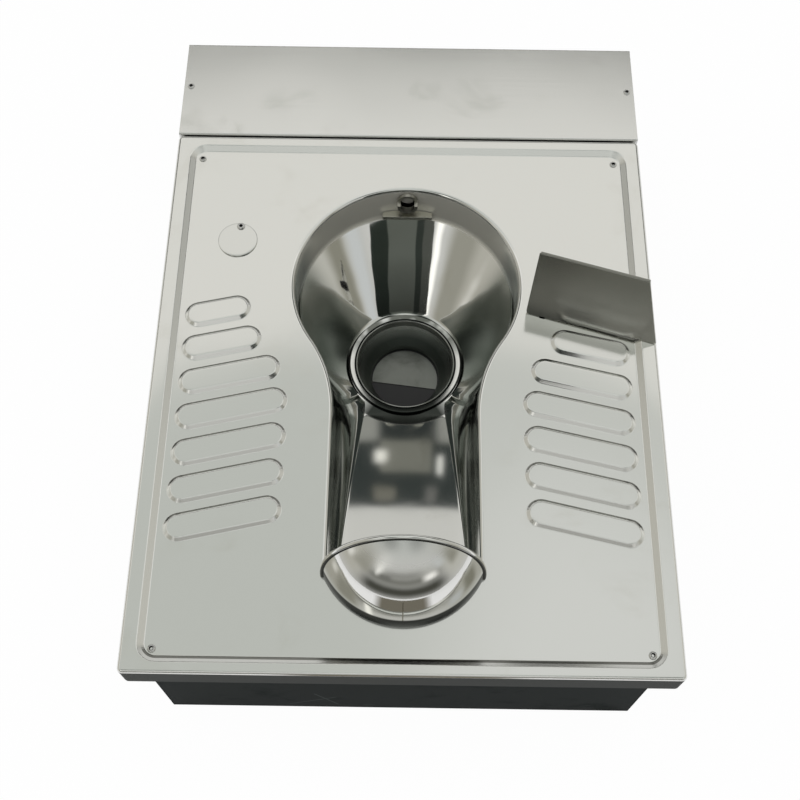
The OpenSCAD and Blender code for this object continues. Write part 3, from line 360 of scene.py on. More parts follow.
def nearMask(tree, vector, middles, radius):
    # 1 within a radius of any of the middles, seen from above, with a soft edge
    parts, nearest = axes(tree, vector), None
    for x, y in middles:
        away = length(tree, minus(tree, parts["X"], x), minus(tree, parts["Y"], y))
        nearest = away if nearest is None else maths(tree, "MINIMUM", nearest, away)
    return ramp(tree, nearest, radius * 1.15, radius * 0.85)


def mixColor(tree, share, a, b):
    node = addNode(tree, "ShaderNodeMix", data_type="RGBA")
    tree.links.new(share, node.inputs["Factor"])
    for key, value in (("A", a), ("B", b)):
        socket = [i for i in node.inputs if i.name == key and i.type == "RGBA"][0]
        if isinstance(value, bpy.types.NodeSocket):
            tree.links.new(value, socket)
        else:
            socket.default_value = (*value, 1.0)
    return [o for o in node.outputs if o.type == "RGBA"][0]


# shared effects, as node groups

def newGroup(name, inputs, output):
    group = bpy.data.node_groups.new(name, "ShaderNodeTree")
    for label, value in [("Vector", None)] + inputs:
        kind = "Float" if isinstance(value, float) else "Vector"
        socket = group.interface.new_socket(label, in_out="INPUT", socket_type="NodeSocket" + kind)
        if value is not None:
            socket.default_value = value
    group.interface.new_socket(output, in_out="OUTPUT", socket_type="NodeSocketFloat")
    return group, addNode(group, "NodeGroupInput").outputs, addNode(group, "NodeGroupOutput").inputs[output]


def useGroup(tree, group, inputs):
    return fillInputs(tree, addNode(tree, "ShaderNodeGroup", node_tree=group), inputs).outputs[0]


def makeSheetWaves():
    # slow waves that a thin pressed sheet keeps after forming, as a height
    group, ins, out = newGroup("sheetWaves", [("Size", 5.0), ("Height", 0.4)], "Height")
    broad = noise(group, ins["Vector"], ins["Size"], 0.0)
    fine = noise(group, ins["Vector"], times(group, ins["Size"], 3.1), 0.0)
    total = maths(group, "ADD", broad, times(group, fine, 0.22))
    group.links.new(times(group, total, ins["Height"]), out)
    return group


def makePolishMarks():
    # fine straight polishing lines along one axis, as a mask
    group, ins, out = newGroup("polishMarks", [("Stretch", (4.0, 500.0, 500.0))], "Mask")
    scaled = addNode(group, "ShaderNodeVectorMath", {0: ins["Vector"], 1: ins["Stretch"]}, operation="MULTIPLY")
    group.links.new(noise(group, scaled.outputs[0], 1.0, 2.0), out)
    return group


def makeSmudges():
    # hand marks and dried water, as a mask between 0 and 1
    group, ins, out = newGroup("smudges", [("Size", 14.0), ("Cover", 0.5)], "Mask")
    cloud = noise(group, ins["Vector"], ins["Size"], 5.0, Roughness=0.6, Distortion=0.4)
    low = minus(group, 0.75, times(group, ins["Cover"], 0.4))
    group.links.new(ramp(group, cloud, low, maths(group, "ADD", low, 0.25), smooth=True), out)
    return group


sheetWaves = makeSheetWaves()
polishMarks = makePolishMarks()
smudges = makeSmudges()


# places of painted shade, painted reflection and painted highlight, and a few that take a tone of their own;
# each zone's mask is the product of its limits

def drainSpan(tree, parts):
    # distance from the drain's middle and how far ahead of it, 1 straight to the front
    ahead = minus(tree, place(0, rim["drainY"], 0).y, parts["Y"])
    away = length(tree, parts["X"], ahead)
    return away, maths(tree, "DIVIDE", ahead, away)


def zoneMask(tree, vector, zone):
    # heights count from the panel and rings from the drain's middle, in millimetres, each with its soft edge
    parts, limits, smooth = axes(tree, vector), [], zone.get("smooth", False)
    if "mask" in zone:
        limits.append(zone["mask"](tree, vector))
    if "band" in zone:
        low, high, edge = zone["band"]
        limits.append(bandMask(tree, parts["Z"], (panelZ + low) * mm, (panelZ + high) * mm, edge * mm))
    if "heights" in zone:
        limits.append(ramp(tree, parts["Z"], *[(panelZ + height) * mm for height in zone["heights"]]))
    if "ring" in zone:
        low, high, edge = zone["ring"]
        limits.append(bandMask(tree, drainSpan(tree, parts)[0], low * mm, high * mm, edge * mm))
    if "ahead" in zone:
        limits.append(ramp(tree, drainSpan(tree, parts)[1], *zone["ahead"], smooth=smooth))
    if "facing" in zone:
        axis, start, end = zone["facing"]
        limits.append(ramp(tree, facing(tree, axis), start, end, smooth=smooth))
    if "behind" in zone:
        limits.append(maths(tree, "GREATER_THAN", parts["Y"], place(0, zone["behind"], 0).y))
    if "cloud" in zone:
        scale, *shares = zone["cloud"]
        limits.append(ramp(tree, noise(tree, vector, scale, 1.0), *shares))
    return times(tree, *limits)


# sizes of those places, in millimetres
lipPlan = {"middleY": 310, "x": 262, "y": 307, "upright": 0.15}
nozzle = {"z": 152.5, "bore": 8.3}
seam = {"half": 0.2, "edge": 0.7, "top": 40}
rivet = {"heads": (("deck_rivets", 4.0), ("cover_rivets", 4.0), ("port_rivet", 4.5)), "core": 2.1}
pipeRadius = 54.6


def deckSides(tree, vector):
    # only the lip's faces that look sideways, which take the lip's painted reflection, so the panel between the
    # treads keeps its polish
    parts = axes(tree, vector)
    upright = maths(tree, "LESS_THAN", maths(tree, "ABSOLUTE", facing(tree, "Z")), lipPlan["upright"])
    fromMiddle = maths(tree, "ABSOLUTE", minus(tree, parts["Y"], place(0, lipPlan["middleY"], 0).y))
    wide = maths(tree, "GREATER_THAN", maths(tree, "ABSOLUTE", parts["X"]), lipPlan["x"] * mm)
    far = maths(tree, "GREATER_THAN", fromMiddle, lipPlan["y"] * mm)
    return times(tree, upright, maths(tree, "MAXIMUM", wide, far))


# the lip's front faces, which take its nearly black painted reflection
def deckFront(tree, vector):
    return times(tree, deckSides(tree, vector), ramp(tree, facing(tree, "Y", "Normal"), -0.3, -0.85))


def treadSlopes(tree, vector):
    # the treads' slopes and the border's step, where the painted highlight goes
    up = facing(tree, "Z")
    return times(tree, maths(tree, "LESS_THAN", up, 0.985), maths(tree, "GREATER_THAN", up, 0.5))


# the nozzle's bore, where its painted shade goes
def nozzleBore(tree, vector):
    parts = axes(tree, vector)
    away = length(tree, parts["X"], minus(tree, parts["Z"], nozzle["z"] * mm))
    return maths(tree, "LESS_THAN", away, nozzle["bore"] * mm)


# inside the pipe, where its painted shade goes
def drainInside(tree, vector):
    return nearMask(tree, vector, [place(0, rim["drainY"], 0)[:2]], pipeRadius * mm)


def hoodSeam(tree, vector):
    parts = axes(tree, vector)
    line = bandMask(tree, parts["X"], -seam["half"] * mm, seam["half"] * mm, seam["edge"] * mm)
    low = maths(tree, "LESS_THAN", parts["Z"], (panelZ + seam["top"]) * mm)
    front = maths(tree, "LESS_THAN", parts["Y"], place(0, hood["y"] - hood["mouthSet"], 0).y)
    return times(tree, line, low, front)


# the rivets' mandrel holes, where their painted shade goes
def rivetCores(tree, vector):
    middles = []
    for name, head in rivet["heads"]:
        low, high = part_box(name)
        middles += [(x, y) for x in sorted({round(low.x + head * mm, 5), round(high.x - head * mm, 5)})
                    for y in sorted({round(low.y + head * mm, 5), round(high.y - head * mm, 5)})]
    return nearMask(tree, vector, middles, rivet["core"] * mm)


def pedalHeight(share):
    low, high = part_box("pedal_plate")
    return (low.z + share * (high.z - low.z)) / mm - panelZ


# matt is the share of metal that goes
toneAndShadeZones = {
    "deck_steel": [
        # painted reflection: the lip's sides greyed and its front turned nearly black and matt, for the dark
        # floor it mirrors
        {"mask": deckSides, "color": (0.42, 0.42, 0.40), "rough": 0.3},
        {"mask": deckFront, "color": (0.030, 0.033, 0.030), "rough": 0.42, "matt": 1.0},
        # painted highlight: the slopes' lighter colour; their higher roughness is the finish
        {"mask": treadSlopes, "color": (0.94, 0.94, 0.92), "rough": 0.22},
        # painted shade along the foot of the slopes that face the rear
        {"facing": ("Y", 0.12, 0.3), "band": (0, 1.7, 0.4), "color": (0.30, 0.30, 0.28), "rough": 0.22}],
    # the upright wall round the back in a duller, partly matt finish; painted reflection that darkens the steep
    # walls that mirror each other; painted shade on the flat before the drain
    "bowl_steel": [
        {"band": (-44.5, -4, 1.5), "behind": 330, "color": (0.54, 0.53, 0.47), "rough": 0.26, "matt": 0.55},
        # painted reflection: the steep walls darkened where they mirror each other and the dark inside
        {"facing": ("Z", 0.95, 0.74), "ahead": (-0.72, -0.52), "smooth": True, "heights": (-3, -14),
         "cloud": (26.0, 0.35, 0.7, 1.0, 0.72), "color": (0.28, 0.30, 0.275), "rough": 0.16},
        # painted shade: a dark ring on the flat just in front of the drain
        {"ring": (60, 77, 3), "ahead": (0.68, 0.84), "color": (0.05, 0.055, 0.05), "rough": 0.2}],
    # weld seam, dull crown and painted shade along the foot
    "hood_steel": [
        {"mask": hoodSeam, "color": (0.40, 0.38, 0.32), "rough": 0.3},
        {"heights": (55, 66), "color": (0.84, 0.84, 0.82), "rough": 0.30},
        # painted shade: a dark band from 3 mm under to 14 mm over the panel, where the dome meets it
        {"band": (-3, 14, 3), "color": (0.014, 0.016, 0.013), "rough": 0.25}],
    # painted shade on the bead's faces that look forward, where it meets the dome
    "bead_steel": [{"facing": ("Y", -0.45, -0.8), "color": (0.035, 0.038, 0.034), "rough": 0.2}],
    # painted shade inside the pipe, painted reflection on the flange's front and rear, and painted shade in the
    # grooves on both sides of the flange
    "drain_steel": [
        # painted shade inside the pipe
        {"mask": drainInside, "color": (0.18, 0.20, 0.185), "rough": 0.38},
        # painted reflection: the flange nearly black at its front and mid-grey, clouded, at its rear
        {"ring": (58.8, 66, 0.5), "ahead": (0.5, 0.85), "color": (0.06, 0.066, 0.06), "rough": 0.25},
        {"ring": (58.8, 66, 0.5), "ahead": (-0.15, -0.6), "cloud": (60.0, 0.30, 0.48),
         "color": (0.20, 0.205, 0.185), "rough": 0.14},
        # painted shade in the grooves on both sides of the flange
        {"ring": (57.0, 58.4, 0.5), "color": (0.012, 0.014, 0.013), "rough": 0.5},
        {"ring": (63.6, 65, 0.4), "color": (0.012, 0.014, 0.013), "rough": 0.5}],
    # painted shade: the nozzle's bore turned black
    "spout_steel": [{"mask": nozzleBore, "behind": 543.5, "color": (0.004, 0.004, 0.004), "rough": 0.9}],
    "pedal_steel": [
        # painted shade: the pedal darker towards its top
        {"heights": (pedalHeight(0.25), pedalHeight(0.9)), "color": (0.40, 0.40, 0.36), "rough": 0.26}],
    # painted shade: the rivets' mandrel holes turned black
    "rivet_alloy": [{"mask": rivetCores, "color": (0.02, 0.02, 0.02), "rough": 0.7}],
}


# finishes

def emptyTree(owner):
    owner.use_nodes = True
    owner.node_tree.nodes.clear()
    return owner.node_tree


def newFinish(name):
    material = bpy.data.materials.new(name)
    tree = emptyTree(material)
    shader = addNode(tree, "ShaderNodeBsdfPrincipled")
    addNode(tree, "ShaderNodeOutputMaterial", {"Surface": shader.outputs[0]})
    return material, tree, shader, addNode(tree, "ShaderNodeTexCoord").outputs["Object"]


def addBump(tree, shader, height):
    bump = addNode(tree, "ShaderNodeBump", {"Strength": 1.0, "Distance": mm, "Height": height})
    fillInputs(tree, shader, {"Normal": bump.outputs[0]})


steelMix = {"marks": 0.6, "grain": 0.4, "mattSpecular": 0.03}
plainGrain = {"marks": 30.0, "scale": 900.0, "detail": 2.0}


def steelFinish(name, color, stain, rough, waves=(5.0, 0.0), lines=(4.0, 500.0, 500.0), lineHeight=0.0,
                cover=0.5, zones=(), calm=None):
    # polished or satin steel: slow waves, polishing lines and smudges, and zones of painted shade, painted
    # reflection and painted highlight, with a few of their own tone
    material, tree, shader, vector = newFinish(name)
    marks = useGroup(tree, smudges, {"Vector": vector, "Cover": cover})
    grain = useGroup(tree, polishMarks, {"Vector": vector, "Stretch": lines})
    tone, metal = mixColor(tree, marks, color, stain), 1.0
    share = maths(tree, "ADD", times(tree, marks, steelMix["marks"]), times(tree, grain, steelMix["grain"]))
    gloss = ramp(tree, share, 0.0, 1.0, *rough)
    # each zone's colour goes over the steel's own; most of them are painted shade, painted reflection and
    # painted highlight
    for zone in zones:
        mask = zoneMask(tree, vector, zone)
        tone = mixColor(tree, mask, tone, zone["color"])
        both = addNode(tree, "ShaderNodeMix", {0: mask, 2: gloss, 3: zone["rough"]}, data_type="FLOAT")
        gloss = both.outputs[0]
        if "matt" in zone:
            metal = minus(tree, 1.0, times(tree, mask, zone["matt"]))
            fillInputs(tree, shader, {"Specular IOR Level": steelMix["mattSpecular"]})
    fillInputs(tree, shader, {"Base Color": tone, "Roughness": gloss, "Metallic": metal})
    height = useGroup(tree, sheetWaves, {"Vector": vector, "Size": waves[0], "Height": waves[1]})
    if calm:
        # the waves fade out towards the front, down to a share of their height
        rear, front, least = calm
        depth = axes(tree, vector)["Y"]
        height = times(tree, height, ramp(tree, depth, place(0, front, 0).y, place(0, rear, 0).y, least))
    if lineHeight:
        height = maths(tree, "ADD", height, times(tree, grain, lineHeight))
    addBump(tree, shader, height)
    return material


def plainFinish(name, color, stain, rough, metallic=0.0, grainHeight=0.02):
    # rubber, plastic and brass: mottled colour and a fine grain
    material, tree, shader, vector = newFinish(name)
    marks = useGroup(tree, smudges, {"Vector": vector, "Size": plainGrain["marks"]})
    fillInputs(tree, shader, {"Base Color": mixColor(tree, marks, color, stain),
                              "Roughness": ramp(tree, marks, 0.0, 1.0, *rough), "Metallic": metallic})
    grain = noise(tree, vector, plainGrain["scale"], plainGrain["detail"])
    addBump(tree, shader, times(tree, grain, grainHeight))
    return material


boxTones = {"base": (0.0062, 0.0098, 0.009), "stain": (0.0105, 0.0145, 0.0135), "rough": (0.42, 0.58),
            "marks": 16.0, "cover": 0.55, "specular": 0.01, "waves": 7.0, "waveHeight": 0.35, "grain": 700.0,
            "grainHeight": 0.012, "scratch": (0.045, 0.054, 0.052), "scratchWidth": 0.7, "scratchTo": 60}
# crossed scratches on the front, from (x, z) to (x, z)
boxScratches = [((-115, 14), (-68, 48)), ((-87, 62), (-66, 16)), ((-38, 12), (-31, 14)), ((188, 22), (196, 27))]


def scratchMask(tree, parts, start, end):
    # thin straight line between two places of the front
    dx, dz = end[0] - start[0], end[1] - start[1]
    run, half = hypot(dx, dz), boxTones["scratchWidth"] / 2 * mm
    x = minus(tree, parts["X"], start[0] * mm)
    z = minus(tree, parts["Z"], start[1] * mm)
    along = maths(tree, "ADD", times(tree, x, dx / run), times(tree, z, dz / run))
    across = minus(tree, times(tree, x, dz / run), times(tree, z, dx / run))
    return times(tree, bandMask(tree, along, 0.0, run * mm, 0.004), bandMask(tree, across, -half, half, 0.0006))


def boxPaint():
    # dark sheet steel of the box, with a few scratches on the front
    material, tree, shader, vector = newFinish("boxPaint")
    look = boxTones
    marks = useGroup(tree, smudges, {"Vector": vector, "Size": look["marks"], "Cover": look["cover"]})
    parts, lines = axes(tree, vector), None
    for start, end in boxScratches:
        line = scratchMask(tree, parts, start, end)
        lines = line if lines is None else maths(tree, "MAXIMUM", lines, line)
    front = maths(tree, "LESS_THAN", parts["Y"], place(0, look["scratchTo"], 0).y)
    base = mixColor(tree, marks, look["base"], look["stain"])
    fillInputs(tree, shader, {"Base Color": mixColor(tree, times(tree, lines, front), base, look["scratch"]),
                              "Roughness": ramp(tree, marks, 0.0, 1.0, *look["rough"]),
                              "Specular IOR Level": look["specular"]})
    waves = useGroup(tree, sheetWaves, {"Vector": vector, "Size": look["waves"], "Height": look["waveHeight"]})
    grain = noise(tree, vector, look["grain"], 2.0)
    addBump(tree, shader, maths(tree, "ADD", waves, times(tree, grain, look["grainHeight"])))
    return material


# colour, stain, roughness between clean and stained, and what departs from the plain finish
steels = {
    "deck_steel": ((0.80, 0.80, 0.775), (0.76, 0.755, 0.72), (0.09, 0.15), {"waves": (4.0, 1.1)}),
    "cover_steel": ((0.85, 0.85, 0.83), (0.81, 0.81, 0.78), (0.16, 0.24),
                    {"waves": (4.0, 0.7), "lineHeight": 0.006}),
    "bowl_steel": ((0.86, 0.86, 0.84), (0.80, 0.79, 0.75), (0.03, 0.07),
                   {"waves": (12.0, 0.8), "lines": (500.0, 500.0, 6.0), "calm": (450, 330, 0.06)}),
    "shelf_steel": ((0.80, 0.79, 0.72), (0.72, 0.71, 0.64), (0.22, 0.32), {}),
    "hood_steel": ((0.84, 0.84, 0.82), (0.76, 0.75, 0.71), (0.04, 0.09),
                   {"waves": (14.0, 0.6), "lines": (320.0, 30.0, 8.0), "lineHeight": 0.02}),
    "bead_steel": ((0.86, 0.86, 0.84), (0.80, 0.79, 0.75), (0.05, 0.10), {}),
    "drain_steel": ((0.80, 0.80, 0.78), (0.62, 0.61, 0.58), (0.08, 0.16), {"waves": (20.0, 0.3)}),
    "spout_steel": ((0.42, 0.415, 0.37), (0.34, 0.33, 0.29), (0.30, 0.42), {}),
    "port_steel": ((0.78, 0.78, 0.755), (0.74, 0.735, 0.70), (0.10, 0.16), {"waves": (9.0, 0.4)}),
    "plain_steel": ((0.60, 0.60, 0.585), (0.48, 0.47, 0.44), (0.28, 0.45), {"lineHeight": 0.01}),
    "dull_steel": ((0.26, 0.27, 0.25), (0.16, 0.165, 0.15), (0.42, 0.62), {"waves": (20.0, 0.3), "cover": 0.8}),
    "pedal_steel": ((0.66, 0.66, 0.62), (0.58, 0.58, 0.53), (0.20, 0.28), {"waves": (7.0, 0.9)}),
    "spring_steel": ((0.42, 0.42, 0.41), (0.30, 0.29, 0.27), (0.30, 0.42), {}),
    "rivet_alloy": ((0.74, 0.74, 0.73), (0.60, 0.60, 0.58), (0.22, 0.36), {}),
}
plains = {
    "black_rubber": ((0.022, 0.022, 0.023), (0.05, 0.05, 0.048), (0.55, 0.75), {"grainHeight": 0.05}),
    "nylon": ((0.66, 0.63, 0.54), (0.55, 0.52, 0.43), (0.38, 0.50), {}),
    "brass": ((0.72, 0.52, 0.24), (0.50, 0.36, 0.18), (0.24, 0.40), {"metallic": 1.0}),
}


def camelName(name):
    first, *rest = name.split("_")
    return first + "".join(word.title() for word in rest)


finishes = {"box_paint": boxPaint()}
for name, (*tones, more) in steels.items():
    finishes[name] = steelFinish(camelName(name), *tones, zones=toneAndShadeZones.get(name, ()), **more)
for name, (*tones, more) in plains.items():
    finishes[name] = plainFinish(camelName(name), *tones, **more)
print("finishes ready")


def finishOf(piece, slotName):
    piece.data.materials.clear()
    piece.data.materials.append(finishes[slotName])


def keepPiece(piece, body, slotName, *replaced, finish=None):
    # the finished piece takes its finish, rides on its body and stands for its CAD nodes
    finishOf(piece, finish or slotName)
    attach(piece, body)
    if replaced:
        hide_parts(*replaced)
    print("made", piece.name, len(piece.data.polygons))


# deck: pressed sheet with raised border, step, treads and folded lip

deckPlan = {"halfWidth": 265, "length": 620, "lip": 35, "edge": 3.5, "edgeSteps": 8, "planRadius": 5.5,
            "side": 16, "front": 11, "rear": 13, "run": 6.5, "corner": 12, "bend": 2.6, "bendSteps": 6}
tread = {"count": 7, "pitch": 40.1, "y": 381.5, "reach": 236, "halfWidth": 15, "height": 3, "slope": 3.75,
         "tilt": 13, "gap": 43, "bend": 2.2, "bendSteps": 5, "endSteps": 14}
port = {"x": -187, "y": 480, "hole": 14, "steps": 48}
crankSlot = [(137, 37.9), (143, 37.9), (143, 72.2), (137, 72.2)]   # corners along and across the pedal


def treadInner(y):
    if y <= throatY:
        return rim["slot"] + tread["gap"]
    share = rim["round"] / (rim["round"] + rim["throat"])
    if y <= rim["roundY"] - (rim["roundY"] - throatY) * share:
        return throatX - sqrt(rim["throat"] ** 2 - (y - throatY) ** 2) + tread["gap"]
    return sqrt(rim["round"] ** 2 - (y - rim["roundY"]) ** 2) + tread["gap"]


def treadLoop(index, side, radius, z):
    # stadium outline of one tread; side is 1 on the right and -1 on the left
    tilt = radians(tread["tilt"])
    outY = tread["y"] - tread["pitch"] * index
    innerY = outY + tan(tilt) * (tread["reach"] - rim["slot"] - tread["gap"])
    innerEnd = (tread["reach"] - treadInner(innerY)) / cos(tilt)
    points = []
    for middle, start in ((tread["halfWidth"], 90), (innerEnd - tread["halfWidth"], -90)):
        for k in range(tread["endSteps"] + 1):
            a = radians(start + 180 * k / tread["endSteps"])
            along, across = middle + radius * cos(a), radius * sin(a)
            x = tread["reach"] - along * cos(tilt) - across * sin(tilt)
            y = outY + along * sin(tilt) - across * cos(tilt)
            points.append(place(side * x, y, z))
    return points if side < 0 else list(reversed(points))


def makeDeck():
    bm = bmesh.new()
    plan = deckPlan
    edge = [(0, borderTop - plan["lip"])]
    for k in range(plan["edgeSteps"] + 1):
        a = radians(90 * k / plan["edgeSteps"])
        edge.append((plan["edge"] * (1 - cos(a)), borderTop - plan["edge"] * (1 - sin(a))))
    loops = []
    for inward, z in edge:
        radius = max(plan["planRadius"] - inward, 1.5)
        loops.append(roundedLoop(plan["halfWidth"] - inward, inward, plan["length"] - inward, radius, z))
    # border, step down and panel's edge; the distance runs inwards from the step's top line
    step = fillet([(-2.5, borderTop), (0, borderTop), (plan["run"], panelZ), (plan["run"] + 3, panelZ)],
                  plan["bend"], plan["bendSteps"])
    for inward, z in step:
        loops.append(roundedLoop(plan["halfWidth"] - plan["side"] - inward, plan["front"] + inward,
                                 plan["length"] - plan["rear"] - inward,
                                 plan["corner"] + plan["run"] - inward, z))
    openEdges = ringEdges(bm, stackRings(bm, loops)[-1])
    # treads, from the foot up to the flat top
    foot, topZ = tread["halfWidth"], panelZ + tread["height"]
    top = foot - tread["slope"]
    rise = fillet([(foot + 1.2, panelZ), (foot, panelZ), (top, topZ), (top - 2.2, topZ)],
                  tread["bend"], tread["bendSteps"])
    for side in (-1, 1):
        for index in range(tread["count"]):
            rings = stackRings(bm, [treadLoop(index, side, radius, z) for radius, z in rise])
            bm.faces.new(rings[-1])
            openEdges += ringEdges(bm, rings[0])
    # holes: bowl, inspection port and the slot for the pedal's crank
    spokes = [tau * k / port["steps"] for k in range(port["steps"])]
    portRing = [place(port["x"] + port["hole"] * cos(a), port["y"] + port["hole"] * sin(a), panelZ)
                for a in spokes]
    for hole in (rimLoop(-0.02, panelZ), portRing, [linkPlace(s, n, panelZ) for s, n in crankSlot]):
        openEdges += ringEdges(bm, [bm.verts.new(p) for p in hole])
    bmesh.ops.triangle_fill(bm, edges=openEdges, use_beauty=True, use_dissolve=False, normal=(0, 0, 1))
    bmesh.ops.recalc_face_normals(bm, faces=bm.faces)
    if sum(f.normal.z * f.calc_area() for f in bm.faces) < 0:
        bmesh.ops.reverse_faces(bm, faces=bm.faces)
    deck = bmeshPiece("deckSheet", bm)
    thicken(deck, sheet)
    smoothSheet(deck, 50)
    keepPiece(deck, "body", "deck_steel", "deck")


makeDeck()

# bowl: rolled rim, steep wall, sloping channel and funnel down to the drain's seat

bowlForm = {"depth": 120, "rise": 0.2, "riseBend": 0.8, "wallIn": 5.5, "drainFoot": 38, "hoodFoot": 11,
            "rearFoot": 8, "rearWall": 47, "rearTurn": 125, "seatEdge": 65, "seat": 60,
            "rollSteps": 8, "wallSteps": 4, "footSteps": 16, "floorSteps": 20}


def easeShare(t):
    c = min(1, max(0, t))
    return c * c * (3 - 2 * c)


def blendTo(a, b, t):
    return a + (b - a) * t


def channelRise(ahead):
    # height of the channel's floor over the seat, this far ahead of the seat's front edge
    bend = bowlForm["riseBend"]
    return bowlForm["rise"] * max(0, (ahead + sqrt(ahead * ahead + bend * bend) - bend) / 2)


def toRear(turn):
    # 0 along the channel and 1 round the back
    return easeShare((turn - turnSlot(0)) / (bowlForm["rearTurn"] - turnSlot(0)))


def floorRise(turn, distance):
    # height of the floor over the seat: a sloping plane along the channel, a funnel round the back
    wall = reach(turn, bowlForm["wallIn"])
    seat = bowlForm["seatEdge"]
    funnel = (bowlForm["depth"] - bowlForm["rearWall"]) * (distance - seat) / (wall - seat)
    return blendTo(channelRise(distance * cos(radians(turn)) - seat), funnel, toRear(turn))


def footRadius(turn):
    # the channel's foot is wide at the drain and tight at the hood, measured square to the wall
    ahead = reach(turn, 0) * cos(radians(turn))
    mouth = turnMouth(0)
    near, far = bowlForm["seatEdge"], reach(mouth, 0) * cos(radians(mouth))
    share = min(1, max(0, (ahead - near) / (far - near)))
    square = blendTo(bowlForm["drainFoot"], bowlForm["hoodFoot"], share)
    if turn < mouth:
        return square * blendTo(1, 1 / sin(radians(mouth)), turn / mouth)
    if turn < turnSlot(0):
        return square / sin(radians(turn))
    start = footRadius(turnSlot(0) - 0.001)
    return blendTo(start, bowlForm["rearFoot"], toRear(turn))


def bowlColumn(turn):
    # points of the inner skin at one turn, from the rim down to the seat
    form, b = bowlForm, abs(turn)
    column = []
    for k in range(form["rollSteps"] + 1):
        a = radians(90 * k / form["rollSteps"])
        across, down = rim["roll"] * sin(a), rim["roll"] * (1 - cos(a))
        column.append((reach(b, across), panelZ - down))
    drainZ = borderTop - form["depth"]
    wall = reach(b, form["wallIn"])
    slope = atan(floorRise(b, wall) - floorRise(b, wall - 1))
    half = (pi / 2 + slope) / 2
    room = (wall - form["seatEdge"] - 2) * tan(half) / cos(slope)
    radius = min(footRadius(b), room)
    corner = drainZ + floorRise(b, wall)
    footTop = corner + radius / tan(half)
    top = column[-1]
    for k in range(1, form["wallSteps"]):
        share = k / form["wallSteps"]
        column.append((blendTo(top[0], wall, share), blendTo(top[1], footTop, share)))
    for k in range(form["footSteps"] + 1):
        a = (pi / 2 - slope) * k / form["footSteps"]
        column.append((wall - radius * (1 - cos(a)), footTop - radius * sin(a)))
    last = column[-1][0]
    for k in range(1, form["floorSteps"] + 1):
        distance = blendTo(last, form["seatEdge"], k / form["floorSteps"])
        column.append((distance, drainZ + floorRise(b, distance)))
    column.append((form["seat"], drainZ))
    return [atTurn(turn, distance, z) for distance, z in column]


def makeBowl():
    columns = [bowlColumn(t) for t in allTurns]
    per = len(columns[0])
    points = [p for column in columns for p in column]
    faces = []
    for i in range(len(columns)):
        j = (i + 1) % len(columns)
        for k in range(per - 1):
            faces.append((i * per + k, i * per + k + 1, j * per + k + 1, j * per + k))
    bowl = meshPiece("bowlShell", points, faces)
    faceUp(bowl)
    thicken(bowl, sheet)
    smoothSheet(bowl, 60)
    keepPiece(bowl, "body", "bowl_steel", "bowl")


makeBowl()

# splash hood: half of a domed cap, cut by a leaning plane, that stands just clear of the panel
overPanel = 0.02


def makeHood():
    deselect()
    bpy.ops.mesh.primitive_uv_sphere_add(segments=160, ring_count=96, radius=1.0,
                                         location=place(0, hood["y"], panelZ))
    piece = bpy.context.object
    piece.name = "hoodShell"
    piece.data.name = "hoodShell"
    piece.scale = (hood["radius"] * mm, hood["radius"] * mm, hood["height"] * mm)
    bpy.ops.object.transform_apply(location=True, rotation=True, scale=True)
    editAll(piece)
    cutMesh(place(0, 0, panelZ + overPanel), (0, 0, 1), clear_inner=True)
    lean, mouthY = radians(hood["lean"]), hood["y"] - hood["mouthSet"]
    cutMesh(place(0, mouthY, panelZ), (0, cos(lean), -sin(lean)), clear_outer=True)
    bpy.ops.object.mode_set(mode="OBJECT")
    thicken(piece, sheet)
    smoothSheet(piece, 50)
    keepPiece(piece, "body", "bowl_steel", "splash_hood", finish="hood_steel")


makeHood()


def mouthPoint(angle):
    # the mouth's edge on the dome's middle skin, swept from the right foot over the top
    r, h, k = hood["radius"] - sheet / 2, hood["height"] - sheet / 2, tan(radians(hood["lean"]))
    a = 1 / (h * h) + k * k / (r * r)
    b = -2 * hood["mouthSet"] * k / (r * r)
    c = hood["mouthSet"] ** 2 / (r * r) - 1
    z = (-b + sqrt(b * b - 4 * a * c)) / (2 * a) * sin(angle)
    y = -hood["mouthSet"] + k * z
    x = r * sqrt(max(0, 1 - (y / r) ** 2 - (z / h) ** 2))
    return place(x if angle <= pi / 2 else -x, hood["y"] + y, panelZ + z)


def makeBead():
    line = bpy.data.curves.new("hoodBead", "CURVE")
    line.dimensions = "3D"
    line.bevel_depth = hood["bead"] * mm
    line.bevel_resolution = 6
    line.use_fill_caps = True
    steps = hood["beadSteps"]
    spline = line.splines.new("POLY")
    spline.points.add(steps)
    for k in range(steps + 1):
        spline.points[k].co = (*mouthPoint(pi * k / steps), 1.0)
    activate(newPiece("hoodBead", line))
    bpy.ops.object.convert(target="MESH")
    bead = bpy.context.object
    editAll(bead)
    bpy.ops.mesh.remove_doubles(threshold=weldGap)
    cutMesh(place(0, 0, panelZ + overPanel), (0, 0, 1), clear_inner=True, use_fill=True)
    closeMesh()
    smoothSheet(bead, 50)
    keepPiece(bead, "body", "bowl_steel", "hood_bead", finish="bead_steel")


makeBead()

# drain collar, spun from its profile of (radius, height) pairs; flange and skirt count from the seat
collar = {"steps": 144,
          "flange": [(64, 1), (64, 2.9), (63.5, 3.5), (62.7, 3.7), (58.6, 2.7), (58, 1.9), (57.4, 1.9),
                     (56.9, 2.8), (56.2, 3.2), (55.5, 2.9), (55, 2.1), (55, -6), (54.6, -7)],
          "pipe": [(40.4, 21), (40, 20), (40, 12), (41.5, 12), (41.5, 20)], "skirt": [(56.5, -6), (56.5, 1)]}


